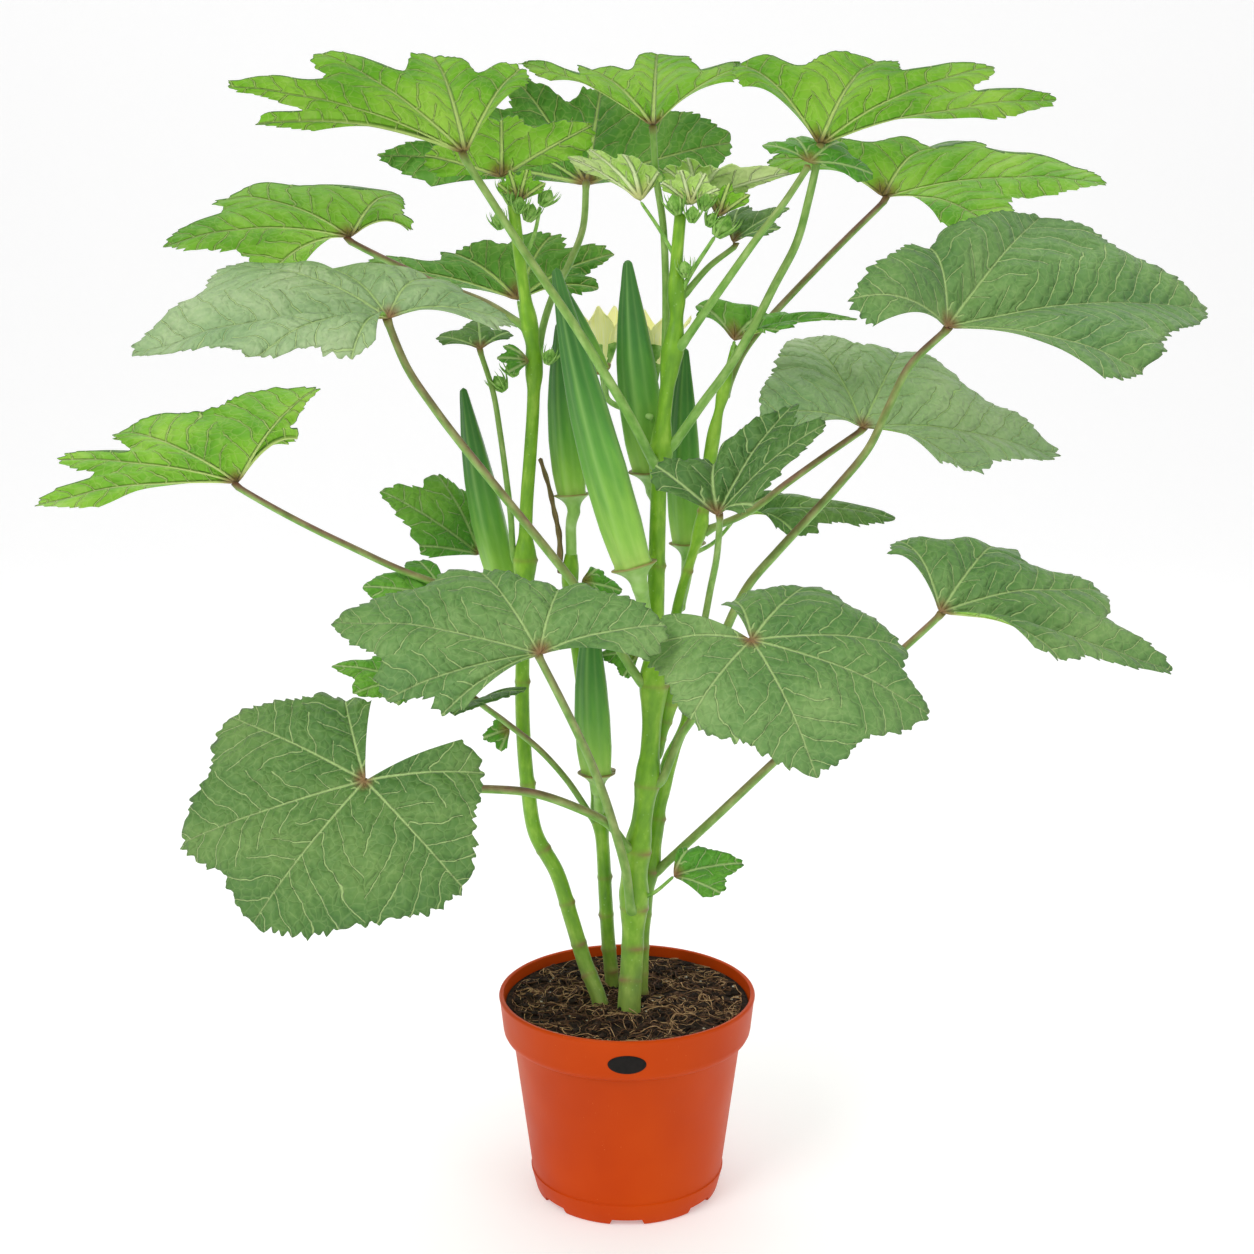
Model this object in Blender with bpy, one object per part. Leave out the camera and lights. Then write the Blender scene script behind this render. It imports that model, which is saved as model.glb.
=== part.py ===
"""Potted okra plant: four stems with leaves, leaf stalks, pods and a flower, in soil in a plastic pot.

Metres, +Z up. The origin is the middle of the pot's foot on the floor, and -Y is the plant's front.
Places are written in millimetres and turned to metres by MM.
"""
import math

import bmesh
import bpy
from mathutils import Matrix, Vector

MM = 0.001
GAP = 0.3

# Pot
POT_HEIGHT = 113.0
RIM_RADIUS = 70.0
BAND_DEPTH = 21.0
BODY_TOP_RADIUS = 62.5
BODY_FOOT_RADIUS = 52.5
FOOT_HEIGHT = 13.0
FOOT_RADIUS = 50.0
WALL = 1.6
FLOOR_UNDER = 3.0
FLOOR_TOP = 5.0
POT_SIDES = 48
NOTCH_COUNT = 7
NOTCH_WIDTH = 16.0
NOTCH_HEIGHT = 3.4
NOTCH_CUT_DEPTH = 12.0
NOTCH_FLARE = 1.35
DRAIN_HOLE_RADIUS = 4.0
DRAIN_CIRCLE = 32.0
DRAIN_HOLES = 6
DRAIN_SIDES = 12

# Soil
SOIL_EDGE = 107.5
SOIL_CROWN = 109.5
STEM_BURIED = 24.0

# Leaves
BLADE_THICKNESS = 0.8
SPOKES_PER_LOBE = 4
FLANK = 0.5
LOBE_ROUNDING = 1.5
BLADE_ARCH = 0.07
# How far out a blade reaches between two lobes, as a share of the lobes' length
SINUS_REACH = 0.74
FULL_BLADES = {
    "leaf_low_left": 0.90, "leaf_front_left": 0.86, "leaf_front_right": 0.90,
    "leaf_high_left": 0.88, "leaf_high_right": 0.88, "leaf_mid_right": 0.84,
    "leaf_low_right": 0.82, "leaf_folded": 0.84, "leaf_mid_left": 0.86,
    "leaf_base_small": 0.86, "leaf_under_left": 0.86, "leaf_high_far_left": 0.80,
}
STALK_SIDES = 8

# Length of a stem's and a stalk's straight steps
STEM_STEP = 26.0
STALK_STEP = 24.0

# Pod outline from the calyx to the tip: share of the length, share of the greatest radius
POD_OUTLINE = (
    (0.02, 0.84), (0.14, 0.98), (0.32, 1.0), (0.52, 0.88), (0.70, 0.66), (0.85, 0.40), (0.96, 0.19),
)
POD_SIDES = 10
POD_GROOVE = 0.90

# Each finish's linear base colour and roughness
COLOURS = {
    "pot": ((0.80, 0.20, 0.035), 0.42),
    "soil": ((0.035, 0.022, 0.014), 0.95),
    "stem": ((0.16, 0.36, 0.05), 0.5),
    "stalk": ((0.25, 0.30, 0.10), 0.5),
    "blade": ((0.10, 0.27, 0.07), 0.6),
    "pod": ((0.10, 0.30, 0.06), 0.5),
    "dry": ((0.30, 0.24, 0.14), 0.8),
    "petal": ((0.85, 0.84, 0.52), 0.55),
}

# Stem paths from the soil upwards (mm), and the radius at the foot and at the top
STEMS = {
    "stem_left": (
        ((-14, -9, 106), (-23, 0, 129), (-34, 3, 166), (-42, 4, 190), (-50, 4, 203), (-54, 4, 235),
         (-56, 5, 275), (-54, 8, 345), (-53, 8, 375), (-50, 8, 413), (-48, 8, 454), (-53, 10, 491),
         (-58, 10, 533)), 4.4, 3.0),
    "stem_middle": (
        ((-8, 17, 106), (-11, 16, 145), (-13, 16, 185), (-15, 17, 210), (-21, 26, 250), (-26, 30, 290),
         (-31, 29, 325), (-30, 28, 350)), 4.0, 3.2),
    "stem_main": (
        ((1, -17, 106), (3, -8, 138), (4, -6, 167), (5, -6, 195), (10, -6, 223), (12, -5, 250),
         (14, -4, 280), (15, -2, 331), (17, 0, 401), (21, 0, 444), (25, 0, 470), (25, 0, 500),
         (27, 0, 528)), 6.5, 3.0),
    "stem_right": (
        ((8, 5, 106), (9, 8, 139), (10, 10, 171), (14, 11, 190), (22, 14, 235), (32, 16, 260),
         (38, 16, 289)), 3.6, 2.6),
}

# Side branch, leaf stalks and flower stalks: what each grows on, the height there, the path on from
# it (mm), the leaf that it carries or None, and the radius at the foot and at the end
BRANCHES = {
    "branch_right": (
        "stem_main", 252, ((21, 8, 268), (25, 11, 306), (28, 12, 330), (39, 14, 367), (43, 14, 399),
                           (47, 15, 424), (52, 17, 444)), "leaf_inner_right", 3.2, 2.0),
    "stalk_low_left": (
        "stem_main", 198, ((-14, -27, 219), (-50, -40, 237), (-80, -55, 243), (-108, -76, 249)),
        "leaf_low_left", 2.4, 1.9),
    "stalk_front_left": (
        "stem_main", 166, ((1, -20, 181), (-9, -30, 223), (-19, -42, 255), (-33, -60, 291)),
        "leaf_front_left", 2.6, 1.9),
    "stalk_front_right": (
        "stem_main", 236, ((30, -10, 262), (50, -42, 296)), "leaf_front_right", 2.3, 1.9),
    "stalk_low_right": (
        "stem_right", 181, ((45, 0, 209), (81, -10, 248), (116, -20, 284), (141, -30, 310)),
        "leaf_low_right", 2.5, 1.8),
    "stalk_high_right": (
        "stem_right", 272, ((60, 3, 331), (87, -4, 366), (108, -9, 391), (124, -14, 413),
                           (140, -25, 452)),
        "leaf_high_right", 2.5, 1.9),
    "stalk_mid_right": (
        "branch_right", 367, ((63, 20, 373), (91, 26, 393)), "leaf_mid_right", 2.0, 1.8),
    "stalk_folded": (
        "stem_right", 284, ((43, 2, 331), (46, -12, 352)), "leaf_folded", 2.0, 1.7),
    "stalk_far_right": (
        "branch_right", 440, ((62, 34, 458), (78, 44, 477), (107, 48, 507)), "leaf_far_right",
        2.0, 1.7),
    "stalk_top_right": (
        "stem_main", 414, ((38, -1, 432), (58, 0, 460), (71, -2, 486), (86, -6, 516)),
        "leaf_top_right", 2.5, 1.9),
    "stalk_crown_right": (
        "stem_main", 465, ((42, -12, 484), (64, -24, 516), (83, -26, 541),
                           (89, -23, 551)), None, 2.2, 1.6),
    "stalk_top_centre": (
        "stem_main", 455, ((20, 11, 480), (19, 11, 518), (15, 7, 545)), "leaf_top_centre", 1.9, 1.7),
    "stalk_top_back": (
        "stem_left", 452, ((-42, 32, 480), (-31, 52, 503), (-23, 62, 525)), "leaf_top_back", 2.0, 1.8),
    "stalk_top_left": (
        "stem_main", 404, ((-3, -32, 437), (-28, -30, 477), (-53, -22, 513)), "leaf_top_left",
        2.6, 1.9),
    "stalk_high_far_left": (
        "stem_left", 474, ((-77, 28, 485), (-106, 30, 496)), "leaf_high_far_left", 2.0, 1.7),
    "stalk_high_left": (
        "stem_main", 288, ((-24, -20, 338), (-57, -32, 383), (-87, -46, 424), (-107, -52, 455)),
        "leaf_high_left", 2.5, 1.9),
    "stalk_small_left": (
        "stem_left", 352, ((-62, 9, 383), (-69, 11, 435)), "leaf_small_left", 1.7, 1.4),
    "stalk_mid_far_left": (
        "stem_left", 320, ((-82, 0, 334), (-108, -6, 343), (-143, -14, 361), (-172, -24, 378)),
        "leaf_mid_far_left", 1.9, 1.6),
    "stalk_under_left": (
        "stem_middle", 208, ((-37, 2, 238), (-57, -12, 262), (-70, -22, 274)), "leaf_under_left",
        1.8, 1.5),
    "stalk_crown_small": (
        "stem_main", 490, ((38, 3, 499),), "leaf_crown_small", 1.8, 1.4),
    "dry_stalk": (
        "stem_middle", 340, ((-37, 26, 366), (-41, 25, 384), (-46, 25, 402)), None, 1.6, 1.1),
}

# Leaf blades: where the stalk meets the blade, then the tips of the lobes from one side of the
# stalk round to the other (mm)
LEAVES = {
    "leaf_low_left": ((-128, -85, 256), (
        (-141, -55, 289), (-198, -60, 282), (-215, -100, 229), (-178, -122, 196), (-78, -115, 211),
        (-71, -85, 260))),
    "leaf_front_left": ((-43, -70, 316), (
        (19, -74, 331), (-34, -46, 344), (-74, -38, 351), (-144, -70, 332), (-116, -95, 299),
        (-88, -98, 294))),
    "leaf_front_right": ((61, -70, 323), (
        (54, -45, 338), (90, -35, 343), (136, -62, 317), (147, -85, 290), (89, -115, 269),
        (30, -95, 289), (8, -56, 317))),
    "leaf_low_right": ((158, -40, 331), (
        (140, -12, 362), (190, -5, 359), (243, -20, 338), (271, -55, 302), (212, -72, 314))),
    "leaf_high_right": ((158, -32, 473), (
        (108, -58, 488), (150, -15, 511), (212, 15, 527), (294, -5, 481), (246, -68, 453))),
    "leaf_mid_right": ((125, 30, 418), (
        (70, 8, 425), (97, 80, 463), (150, 78, 453), (231, 40, 402), (176, 0, 397))),
    "leaf_folded": ((46, -30, 379), (
        (14, -35, 405), (45, -20, 404), (84, -15, 433), (99, -38, 427), (62, -48, 387))),
    "leaf_small_right": ((60, 45, 368), (
        (92, 68, 373), (147, 50, 364), (92, 28, 360))),
    "leaf_far_right": ((136, 50, 538), (
        (74, 26, 558), (155, 5, 560), (256, 60, 545), (210, 112, 522))),
    "leaf_top_right": ((95, -15, 561), (
        (53, -50, 596), (113, -88, 595), (168, -70, 592), (207, -35, 580))),
    "leaf_top_centre": ((13, 0, 571), (
        (-51, -30, 598), (-17, -60, 592), (14, -74, 597), (58, -28, 597))),
    "leaf_top_back": ((-22, 68, 545), (
        (-136, 96, 562), (-97, 80, 584), (-58, 55, 598), (-14, 48, 592), (58, 104, 569))),
    "leaf_top_left": ((-80, -15, 557), (
        (-179, -32, 570), (-190, -46, 588), (-141, -75, 597), (-88, -84, 596), (-50, -60, 593))),
    "leaf_top_inner": ((-64, 17, 547), (
        (-103, 12, 558), (-63, 2, 576), (-18, 8, 572))),
    "leaf_high_far_left": ((-143, 22, 517), (
        (-192, 50, 497), (-238, 18, 513), (-198, -20, 535), (-112, -30, 539), (-109, 8, 521))),
    "leaf_high_left": ((-115, -55, 478), (
        (-55, -45, 475), (-98, -20, 495), (-152, -8, 500), (-195, -20, 503), (-236, -68, 461),
        (-172, -90, 462), (-128, -92, 462))),
    "leaf_high_back": ((-61, 95, 483), (
        (-145, 100, 503), (-94, 76, 509), (-41, 84, 518), (-7, 106, 508), (-16, 124, 490))),
    "leaf_small_left": ((-76, 14, 460), (
        (-99, 24, 465), (-79, 38, 474), (-62, 32, 468))),
    "leaf_mid_far_left": ((-195, -34, 396), (
        (-292, -48, 384), (-271, -72, 409), (-238, -90, 427), (-146, -85, 448), (-160, -55, 421))),
    "leaf_mid_left": ((-81, 46, 347), (
        (-114, 30, 354), (-133, 34, 384), (-104, 48, 391), (-84, 56, 378))),
    "leaf_under_left": ((-75, -35, 285), (
        (-97, -46, 291), (-86, -62, 283), (-52, -46, 291))),
    "leaf_base_small": ((25, -15, 183), (
        (33, -9, 196), (62, -18, 191), (49, -36, 181))),
    "leaf_inner_right": ((56, 18, 464), (
        (38, 24, 481), (76, 27, 477), (118, 10, 476), (78, 0, 468))),
    "leaf_crown_small": ((54, 5, 514), (
        (58, 24, 531), (82, 6, 530), (75, -14, 520))),
}

# Pods: calyx, tip, greatest radius, then the flower stalk's path back to where it grows (mm)
PODS = {
    "pod_front": ((4, -19, 351), (-37, -12, 507), 12.0, ((8, -14, 334), (10, -11, 322))),
    "pod_back": ((-29, 26, 382), (-36, 31, 476), 9.6, ((-30, 27, 366), (-30, 28, 355))),
    "pod_tall": ((13, 20, 396), (0, 12, 509), 12.0, ((16, 15, 380), (16, 8, 366))),
    "pod_right": ((33, 38, 354), (31, 40, 463), 10.0, ((32, 29, 338), (29, 20, 327))),
    "pod_left": ((-66, 27, 334), (-87, 24, 443), 9.6, ((-63, 21, 318), (-60, 12, 306))),
    "pod_low": ((-16, 3, 235), (-19, 1, 330), 10.2, ((-15, 7, 222), (-15, 11, 214))),
    "pod_young": ((-13, 22, 449), (-34, 2, 496), 5.2, ((-9, 27, 432),)),
}

# Flower and growing tip: path (mm) and the radius at each of its points
FLOWERS = {
    "flower_bud": (
        ((-12, 40, 436), (-12, 42, 446), (-13, 44, 452), (-13, 45, 464), (-13, 46, 478)),
        (1.5, 3.0, 6.5, 9.0, 7.0)),
    "growing_tip": (
        ((28, 1, 532), (30, 0, 539), (33, -1, 547), (35, -2, 552)),
        (2.6, 6.0, 6.5, 3.0)),
}


def clear_scene():
    """Remove every object, so that the script can run again in the same file."""
    for thing in list(bpy.data.objects):
        bpy.data.objects.remove(thing, do_unlink=True)


def make_material(name, finish):
    """A node's own Principled material, with the colour and the roughness of one finish."""
    colour, roughness = COLOURS[finish]
    material = bpy.data.materials.new(name)
    material.use_nodes = True
    shader = material.node_tree.nodes["Principled BSDF"]
    shader.inputs["Base Color"].default_value = (*colour, 1.0)
    shader.inputs["Roughness"].default_value = roughness
    return material


def add_object(name, shape, finish, smooth_angle=math.radians(40)):
    """Turn a bmesh in millimetres into a named object in metres, with its own material."""
    bmesh.ops.scale(shape, vec=(MM, MM, MM), verts=shape.verts)
    bmesh.ops.recalc_face_normals(shape, faces=shape.faces)
    mesh = bpy.data.meshes.new(name)
    shape.to_mesh(mesh)
    shape.free()
    mesh.shade_smooth()
    mesh.set_sharp_from_angle(angle=smooth_angle)
    thing = bpy.data.objects.new(name, mesh)
    mesh.materials.append(make_material(name, finish))
    bpy.context.scene.collection.objects.link(thing)
    return thing


def as_cutter(thing):
    """Mark an object as a cutter, which isn't part of the plant."""
    thing.hide_render = True
    thing.display_type = "WIRE"
    return thing


def cut(thing, cutter):
    """Take a cutter's shape out of an object."""
    boolean = thing.modifiers.new(cutter.name, "BOOLEAN")
    boolean.operation = "DIFFERENCE"
    boolean.solver = "EXACT"
    boolean.object = as_cutter(cutter)


def lerp(a, b, share):
    """The value a share of the way from a to b."""
    return a + (b - a) * share


def smooth_path(points, spacing):
    """Points at about an even spacing on a Catmull-Rom curve through the given points."""
    knots = [Vector(p) for p in points]
    knots = [knots[0] * 2 - knots[1]] + knots + [knots[-1] * 2 - knots[-2]]
    fine = []
    for p0, p1, p2, p3 in zip(knots, knots[1:], knots[2:], knots[3:]):
        for step in range(8):
            t = step / 8
            fine.append(0.5 * (2 * p1 + (p2 - p0) * t + (2 * p0 - 5 * p1 + 4 * p2 - p3) * t ** 2
                               + (3 * p1 - p0 - 3 * p2 + p3) * t ** 3))
    fine.append(knots[-2])
    lengths = [0.0]
    for a, b in zip(fine, fine[1:]):
        lengths.append(lengths[-1] + (b - a).length)
    count = max(3, round(lengths[-1] / spacing) + 1)
    path = []
    for i in range(count):
        target = lengths[-1] * i / (count - 1)
        j = max(k for k in range(len(fine) - 1) if lengths[k] <= target or k == 0)
        span = lengths[j + 1] - lengths[j]
        path.append(fine[j].lerp(fine[j + 1], (target - lengths[j]) / span))
    return path


def limb(path, radii, sides, groove=1.0):
    """A closed tube through the path, with a low cone at each end.

    Every other corner of the section is drawn in to the groove share of the radius.
    """
    shape = bmesh.new()
    directions = []
    for i in range(len(path)):
        before = path[max(i - 1, 0)]
        after = path[min(i + 1, len(path) - 1)]
        directions.append((after - before).normalized())
    side = directions[0].orthogonal().normalized()
    rings = []
    for centre, direction, radius in zip(path, directions, radii):
        side = (side - direction * side.dot(direction)).normalized()
        other = direction.cross(side)
        ring = []
        for k in range(sides):
            angle = math.tau * k / sides
            reach = radius * (groove if k % 2 else 1.0)
            corner = centre + (side * math.cos(angle) + other * math.sin(angle)) * reach
            ring.append(shape.verts.new(corner))
        rings.append(ring)
    for low, high in zip(rings, rings[1:]):
        for k in range(sides):
            n = (k + 1) % sides
            shape.faces.new((low[k], low[n], high[n], high[k]))
    ends = ((rings[0], path[0] - directions[0] * radii[0] * 0.5),
            (rings[-1], path[-1] + directions[-1] * radii[-1] * 0.5))
    for ring, apex in ends:
        point = shape.verts.new(apex)
        for k in range(sides):
            shape.faces.new((ring[k], ring[(k + 1) % sides], point))
    return shape


def tapered(path, foot, top):
    """Radii that fall evenly along a path."""
    return [lerp(foot, top, i / (len(path) - 1)) for i in range(len(path))]


def stem_path(name):
    """The stem's path, with the stretch that stands in the soil."""
    points, foot, top = STEMS[name]
    buried = Vector(points[0]) - Vector((0, 0, STEM_BURIED))
    return smooth_path((buried, *points), STEM_STEP)


def axis_at(name, height):
    """A stem's or branch's centre, heading and radius at a height."""
    if name in STEMS:
        path = stem_path(name)
        foot, top = STEMS[name][1:]
    else:
        path = branch_path(name)
        foot, top = BRANCHES[name][4:]
    for i, (a, b) in enumerate(zip(path, path[1:])):
        if a.z <= height <= b.z:
            share = (height - a.z) / (b.z - a.z)
            radius = lerp(foot, top, (i + share) / (len(path) - 1))
            return a.lerp(b, share), (b - a).normalized(), radius
    raise ValueError(f"{name} doesn't reach {height}")


def blade_normal(name):
    """The upper side's direction at the middle of a leaf blade."""
    centre, tips = LEAVES[name]
    arms = [Vector(t) - Vector(centre) for t in tips]
    normal = Vector((0, 0, 0))
    for a, b in zip(arms, arms[1:]):
        normal += a.cross(b)
    normal.normalize()
    return normal if normal.z > 0 else -normal


def branch_path(name):
    """A stalk's path from just off what it grows on to just under its leaf."""
    parent, height, points, leaf, foot, top = BRANCHES[name]
    centre, heading, parent_radius = axis_at(parent, height)
    outward = Vector(points[0]) - centre
    outward = (outward - heading * outward.dot(heading)).normalized()
    start = centre + outward * (parent_radius + foot + 2 * GAP)
    path = [start] + [Vector(p) for p in points]
    if leaf:
        meet = Vector(LEAVES[leaf][0]) - blade_normal(leaf) * (BLADE_THICKNESS / 2 + GAP + top)
        path.append(meet)
    return smooth_path(path, STALK_STEP)


def build_stem(name):
    """One main stem, from its buried end to its top."""
    path = stem_path(name)
    add_object(name, limb(path, tapered(path, *STEMS[name][1:]), STALK_SIDES), "stem")


def build_branch(name):
    """One stalk or side branch."""
    path = branch_path(name)
    finish = "dry" if name == "dry_stalk" else "stalk"
    add_object(name, limb(path, tapered(path, *BRANCHES[name][4:]), STALK_SIDES), finish)


def build_pod(name):
    """One five-ridged pod with its calyx ring and the stalk that carries it."""
    calyx, tip, radius, stalk = PODS[name]
    calyx = Vector(calyx)
    tip = Vector(tip)
    length = tip - calyx
    back = -length.normalized()
    neck = calyx + back * radius * 0.9
    stalk_end = [Vector(p) for p in stalk] or [neck + back * 3.0]
    path = list(reversed(stalk_end)) + [neck, calyx + back * 1.2, calyx]
    radii = [radius * 0.32] * len(stalk_end) + [radius * 0.38, radius * 0.92, radius * 0.98]
    for share, girth in POD_OUTLINE:
        path.append(calyx + length * share)
        radii.append(radius * girth)
    add_object(name, limb(path, radii, POD_SIDES, POD_GROOVE), "pod")


def build_flower(name):
    """The half-open flower or the growing tip, as one closed form of its outer shape."""
    points, radii = FLOWERS[name]
    finish = "petal" if name == "flower_bud" else "stem"
    add_object(name, limb([Vector(p) for p in points], radii, STALK_SIDES), finish)


def blade_spokes(name):
    """The blade's outline as arms from the stalk's end, one for each spoke."""
    centre, tips = LEAVES[name]
    sinus = FULL_BLADES.get(name, SINUS_REACH)
    arms = [Vector(t) - Vector(centre) for t in tips]
    last = len(arms) - 1
    spokes = []
    steps = round((last + 2 * FLANK) * SPOKES_PER_LOBE)
    for i in range(steps + 1):
        place = -FLANK + i / SPOKES_PER_LOBE
        first = min(max(math.floor(place), 0), last - 1)
        share = place - first
        heading = arms[first].normalized().lerp(arms[first + 1].normalized(), share).normalized()
        length = lerp(arms[first].length, arms[first + 1].length, min(max(share, 0), 1))
        off_tip = abs(place - round(place)) * 2
        spokes.append(heading * length * (1 - (1 - sinus) * off_tip ** LOBE_ROUNDING))
    return spokes


def build_blade(name):
    """One leaf blade: a thin closed sheet that arches out from the end of its stalk."""
    centre = Vector(LEAVES[name][0])
    normal = blade_normal(name)
    half = normal * (BLADE_THICKNESS / 2)
    spokes = blade_spokes(name)
    reach = max(s.length for s in spokes)
    shape = bmesh.new()
    sides = []
    for offset in (half, -half):
        hub = shape.verts.new(centre + offset)
        middle = []
        edge = []
        for spoke in spokes:
            lift = normal * (BLADE_ARCH * reach)
            middle.append(shape.verts.new(centre + spoke * 0.5 + lift + offset))
            edge.append(shape.verts.new(centre + spoke + offset))
        for i in range(len(spokes) - 1):
            shape.faces.new((hub, middle[i], middle[i + 1]))
            shape.faces.new((middle[i], edge[i + 1], middle[i + 1]))
            shape.faces.new((middle[i], edge[i], edge[i + 1]))
        sides.append([hub, middle[0], *edge, middle[-1]])
    upper, lower = sides
    for i in range(len(upper)):
        n = (i + 1) % len(upper)
        shape.faces.new((upper[i], upper[n], lower[n], lower[i]))
    add_object(name, shape, "blade", math.radians(70))


def turned(profile, sides):
    """A closed solid turned from a profile whose first and last points lie on the axis."""
    shape = bmesh.new()
    rings = []
    for radius, height in profile:
        if radius == 0:
            rings.append([shape.verts.new((0, 0, height))] * sides)
            continue
        ring = []
        for k in range(sides):
            angle = math.tau * k / sides
            ring.append(shape.verts.new((radius * math.cos(angle), radius * math.sin(angle), height)))
        rings.append(ring)
    for low, high in zip(rings, rings[1:]):
        for k in range(sides):
            n = (k + 1) % sides
            corners = []
            for corner in (low[k], low[n], high[n], high[k]):
                if corner not in corners:
                    corners.append(corner)
            shape.faces.new(corners)
    return shape


def inner_wall():
    """The pot's inner wall, from the floor to the rim: radius and height."""
    band_foot = POT_HEIGHT - BAND_DEPTH
    return (
        (BODY_FOOT_RADIUS - WALL - 1.0, FLOOR_TOP),
        (BODY_TOP_RADIUS - WALL, band_foot - 5.0),
        (RIM_RADIUS - 5.4, band_foot + 2.0),
        (RIM_RADIUS - 2.6, POT_HEIGHT - 1.2),
    )


def pot_profile():
    """The pot's section, from under the floor, up the outside and down the inside."""
    band_foot = POT_HEIGHT - BAND_DEPTH
    outside = (
        (0, FLOOR_UNDER),
        (FOOT_RADIUS - 4.0, FLOOR_UNDER),
        (FOOT_RADIUS - 3.4, 0),
        (FOOT_RADIUS - 0.8, 0),
        (FOOT_RADIUS + 0.6, 1.6),
        (BODY_FOOT_RADIUS + 0.8, FOOT_HEIGHT - 0.6),
        (BODY_FOOT_RADIUS + 0.2, FOOT_HEIGHT),
        (BODY_TOP_RADIUS, band_foot - 3.0),
        (RIM_RADIUS - 4.4, band_foot - 2.4),
        (RIM_RADIUS - 2.2, band_foot + 1.0),
        (RIM_RADIUS - 0.4, POT_HEIGHT - 2.4),
        (RIM_RADIUS, POT_HEIGHT - 1.4),
        (RIM_RADIUS - 0.6, POT_HEIGHT),
        (RIM_RADIUS - 2.2, POT_HEIGHT),
    )
    return outside + tuple(reversed(inner_wall())) + ((0, FLOOR_TOP),)


def box_cutter(name, size, centre, turn):
    """A box that cuts, wider at its foot, turned about the pot's axis."""
    shape = bmesh.new()
    bmesh.ops.create_cube(shape, size=1.0)
    bmesh.ops.scale(shape, vec=size, verts=shape.verts)
    for vert in shape.verts:
        if vert.co.z < 0:
            vert.co.y *= NOTCH_FLARE
    bmesh.ops.translate(shape, vec=centre, verts=shape.verts)
    bmesh.ops.rotate(shape, matrix=Matrix.Rotation(turn, 3, "Z"), verts=shape.verts)
    return add_object(name, shape, "pot")


def build_pot():
    """The plastic pot: a rim band, a tapered body and a notched foot, with drain holes."""
    pot = add_object("pot", turned(pot_profile(), POT_SIDES), "pot", math.radians(25))
    for i in range(NOTCH_COUNT):
        turn = -math.pi / 2 + math.tau * i / NOTCH_COUNT
        size = (NOTCH_CUT_DEPTH, NOTCH_WIDTH, 2 * NOTCH_HEIGHT)
        notch = box_cutter(f"notch_{i + 1}", size, (FOOT_RADIUS + 0.5, 0, 0), turn)
        cut(pot, notch)
    for i in range(DRAIN_HOLES):
        turn = math.tau * (i + 0.5) / DRAIN_HOLES
        middle = Vector((DRAIN_CIRCLE * math.cos(turn), DRAIN_CIRCLE * math.sin(turn), 0))
        path = [middle, middle + Vector((0, 0, FLOOR_TOP * 2))]
        hole = limb(path, [DRAIN_HOLE_RADIUS] * 2, DRAIN_SIDES)
        cut(pot, add_object(f"drain_{i + 1}", hole, "pot"))


def build_soil():
    """The soil that fills the pot, with a socket for the foot of each stem."""
    wall = inner_wall()
    profile = [(0, FLOOR_TOP + GAP)]
    profile += [(radius - GAP, height + GAP) for radius, height in wall[:-1]]
    top_share = (SOIL_EDGE - wall[2][1]) / (wall[3][1] - wall[2][1])
    profile.append((lerp(wall[2][0], wall[3][0], top_share) - 2 * GAP, SOIL_EDGE))
    profile += [(RIM_RADIUS * 0.6, lerp(SOIL_EDGE, SOIL_CROWN, 0.6)), (0, SOIL_CROWN)]
    soil = add_object("soil", turned(profile, POT_SIDES), "soil", math.radians(30))
    for name in STEMS:
        path = [p for p in stem_path(name) if p.z < SOIL_CROWN + 60]
        radii = tapered(stem_path(name), *STEMS[name][1:])[:len(path)]
        path[0] = path[0] - Vector((0, 0, 2 * GAP))
        socket = limb(path, [r + GAP for r in radii], STALK_SIDES)
        cut(soil, add_object(f"socket_{name}", socket, "soil"))


def main():
    """Build the whole plant."""
    clear_scene()
    build_pot()
    build_soil()
    for name in STEMS:
        build_stem(name)
    for name in BRANCHES:
        build_branch(name)
    for name in LEAVES:
        build_blade(name)
    for name in PODS:
        build_pod(name)
    for name in FLOWERS:
        build_flower(name)


main()
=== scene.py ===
"""Potted okra plant: grown leaves, stems, pods, flower, soil and nursery pot round the fixed frame.

Places and sizes are read from the frame's own pieces where it has them, and given as numbers
elsewhere. Lengths are in metres unless a name ends in _mm, and MM turns one into the other.
"""
from __future__ import annotations

import logging
import math
import random
from collections.abc import Callable, Iterable, Sequence
from dataclasses import dataclass, field
from enum import Enum
from functools import partial

import bmesh
import bpy
import numpy as np
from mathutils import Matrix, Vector, noise


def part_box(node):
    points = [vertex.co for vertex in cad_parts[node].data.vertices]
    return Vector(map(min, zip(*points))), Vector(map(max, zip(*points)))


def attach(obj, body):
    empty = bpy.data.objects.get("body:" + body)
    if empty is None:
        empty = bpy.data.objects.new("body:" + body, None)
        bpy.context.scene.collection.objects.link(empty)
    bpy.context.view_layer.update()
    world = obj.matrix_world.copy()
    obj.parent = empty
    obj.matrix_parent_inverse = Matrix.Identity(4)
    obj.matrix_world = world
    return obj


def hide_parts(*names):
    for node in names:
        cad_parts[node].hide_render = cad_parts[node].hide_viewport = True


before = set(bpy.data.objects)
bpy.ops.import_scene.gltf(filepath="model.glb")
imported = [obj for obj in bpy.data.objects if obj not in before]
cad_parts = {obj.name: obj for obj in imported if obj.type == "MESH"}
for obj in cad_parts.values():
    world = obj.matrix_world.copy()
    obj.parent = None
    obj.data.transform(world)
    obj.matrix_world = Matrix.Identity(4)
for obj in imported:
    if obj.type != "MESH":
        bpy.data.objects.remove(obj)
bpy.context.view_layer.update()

LOG = logging.getLogger("potted_okra")
MM = 0.001
SPOKES_PER_LOBE = 4
FIRST_TIP = 2
VEIN_MAP = "veins"
SKIN_MAP = "UVMap"
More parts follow.
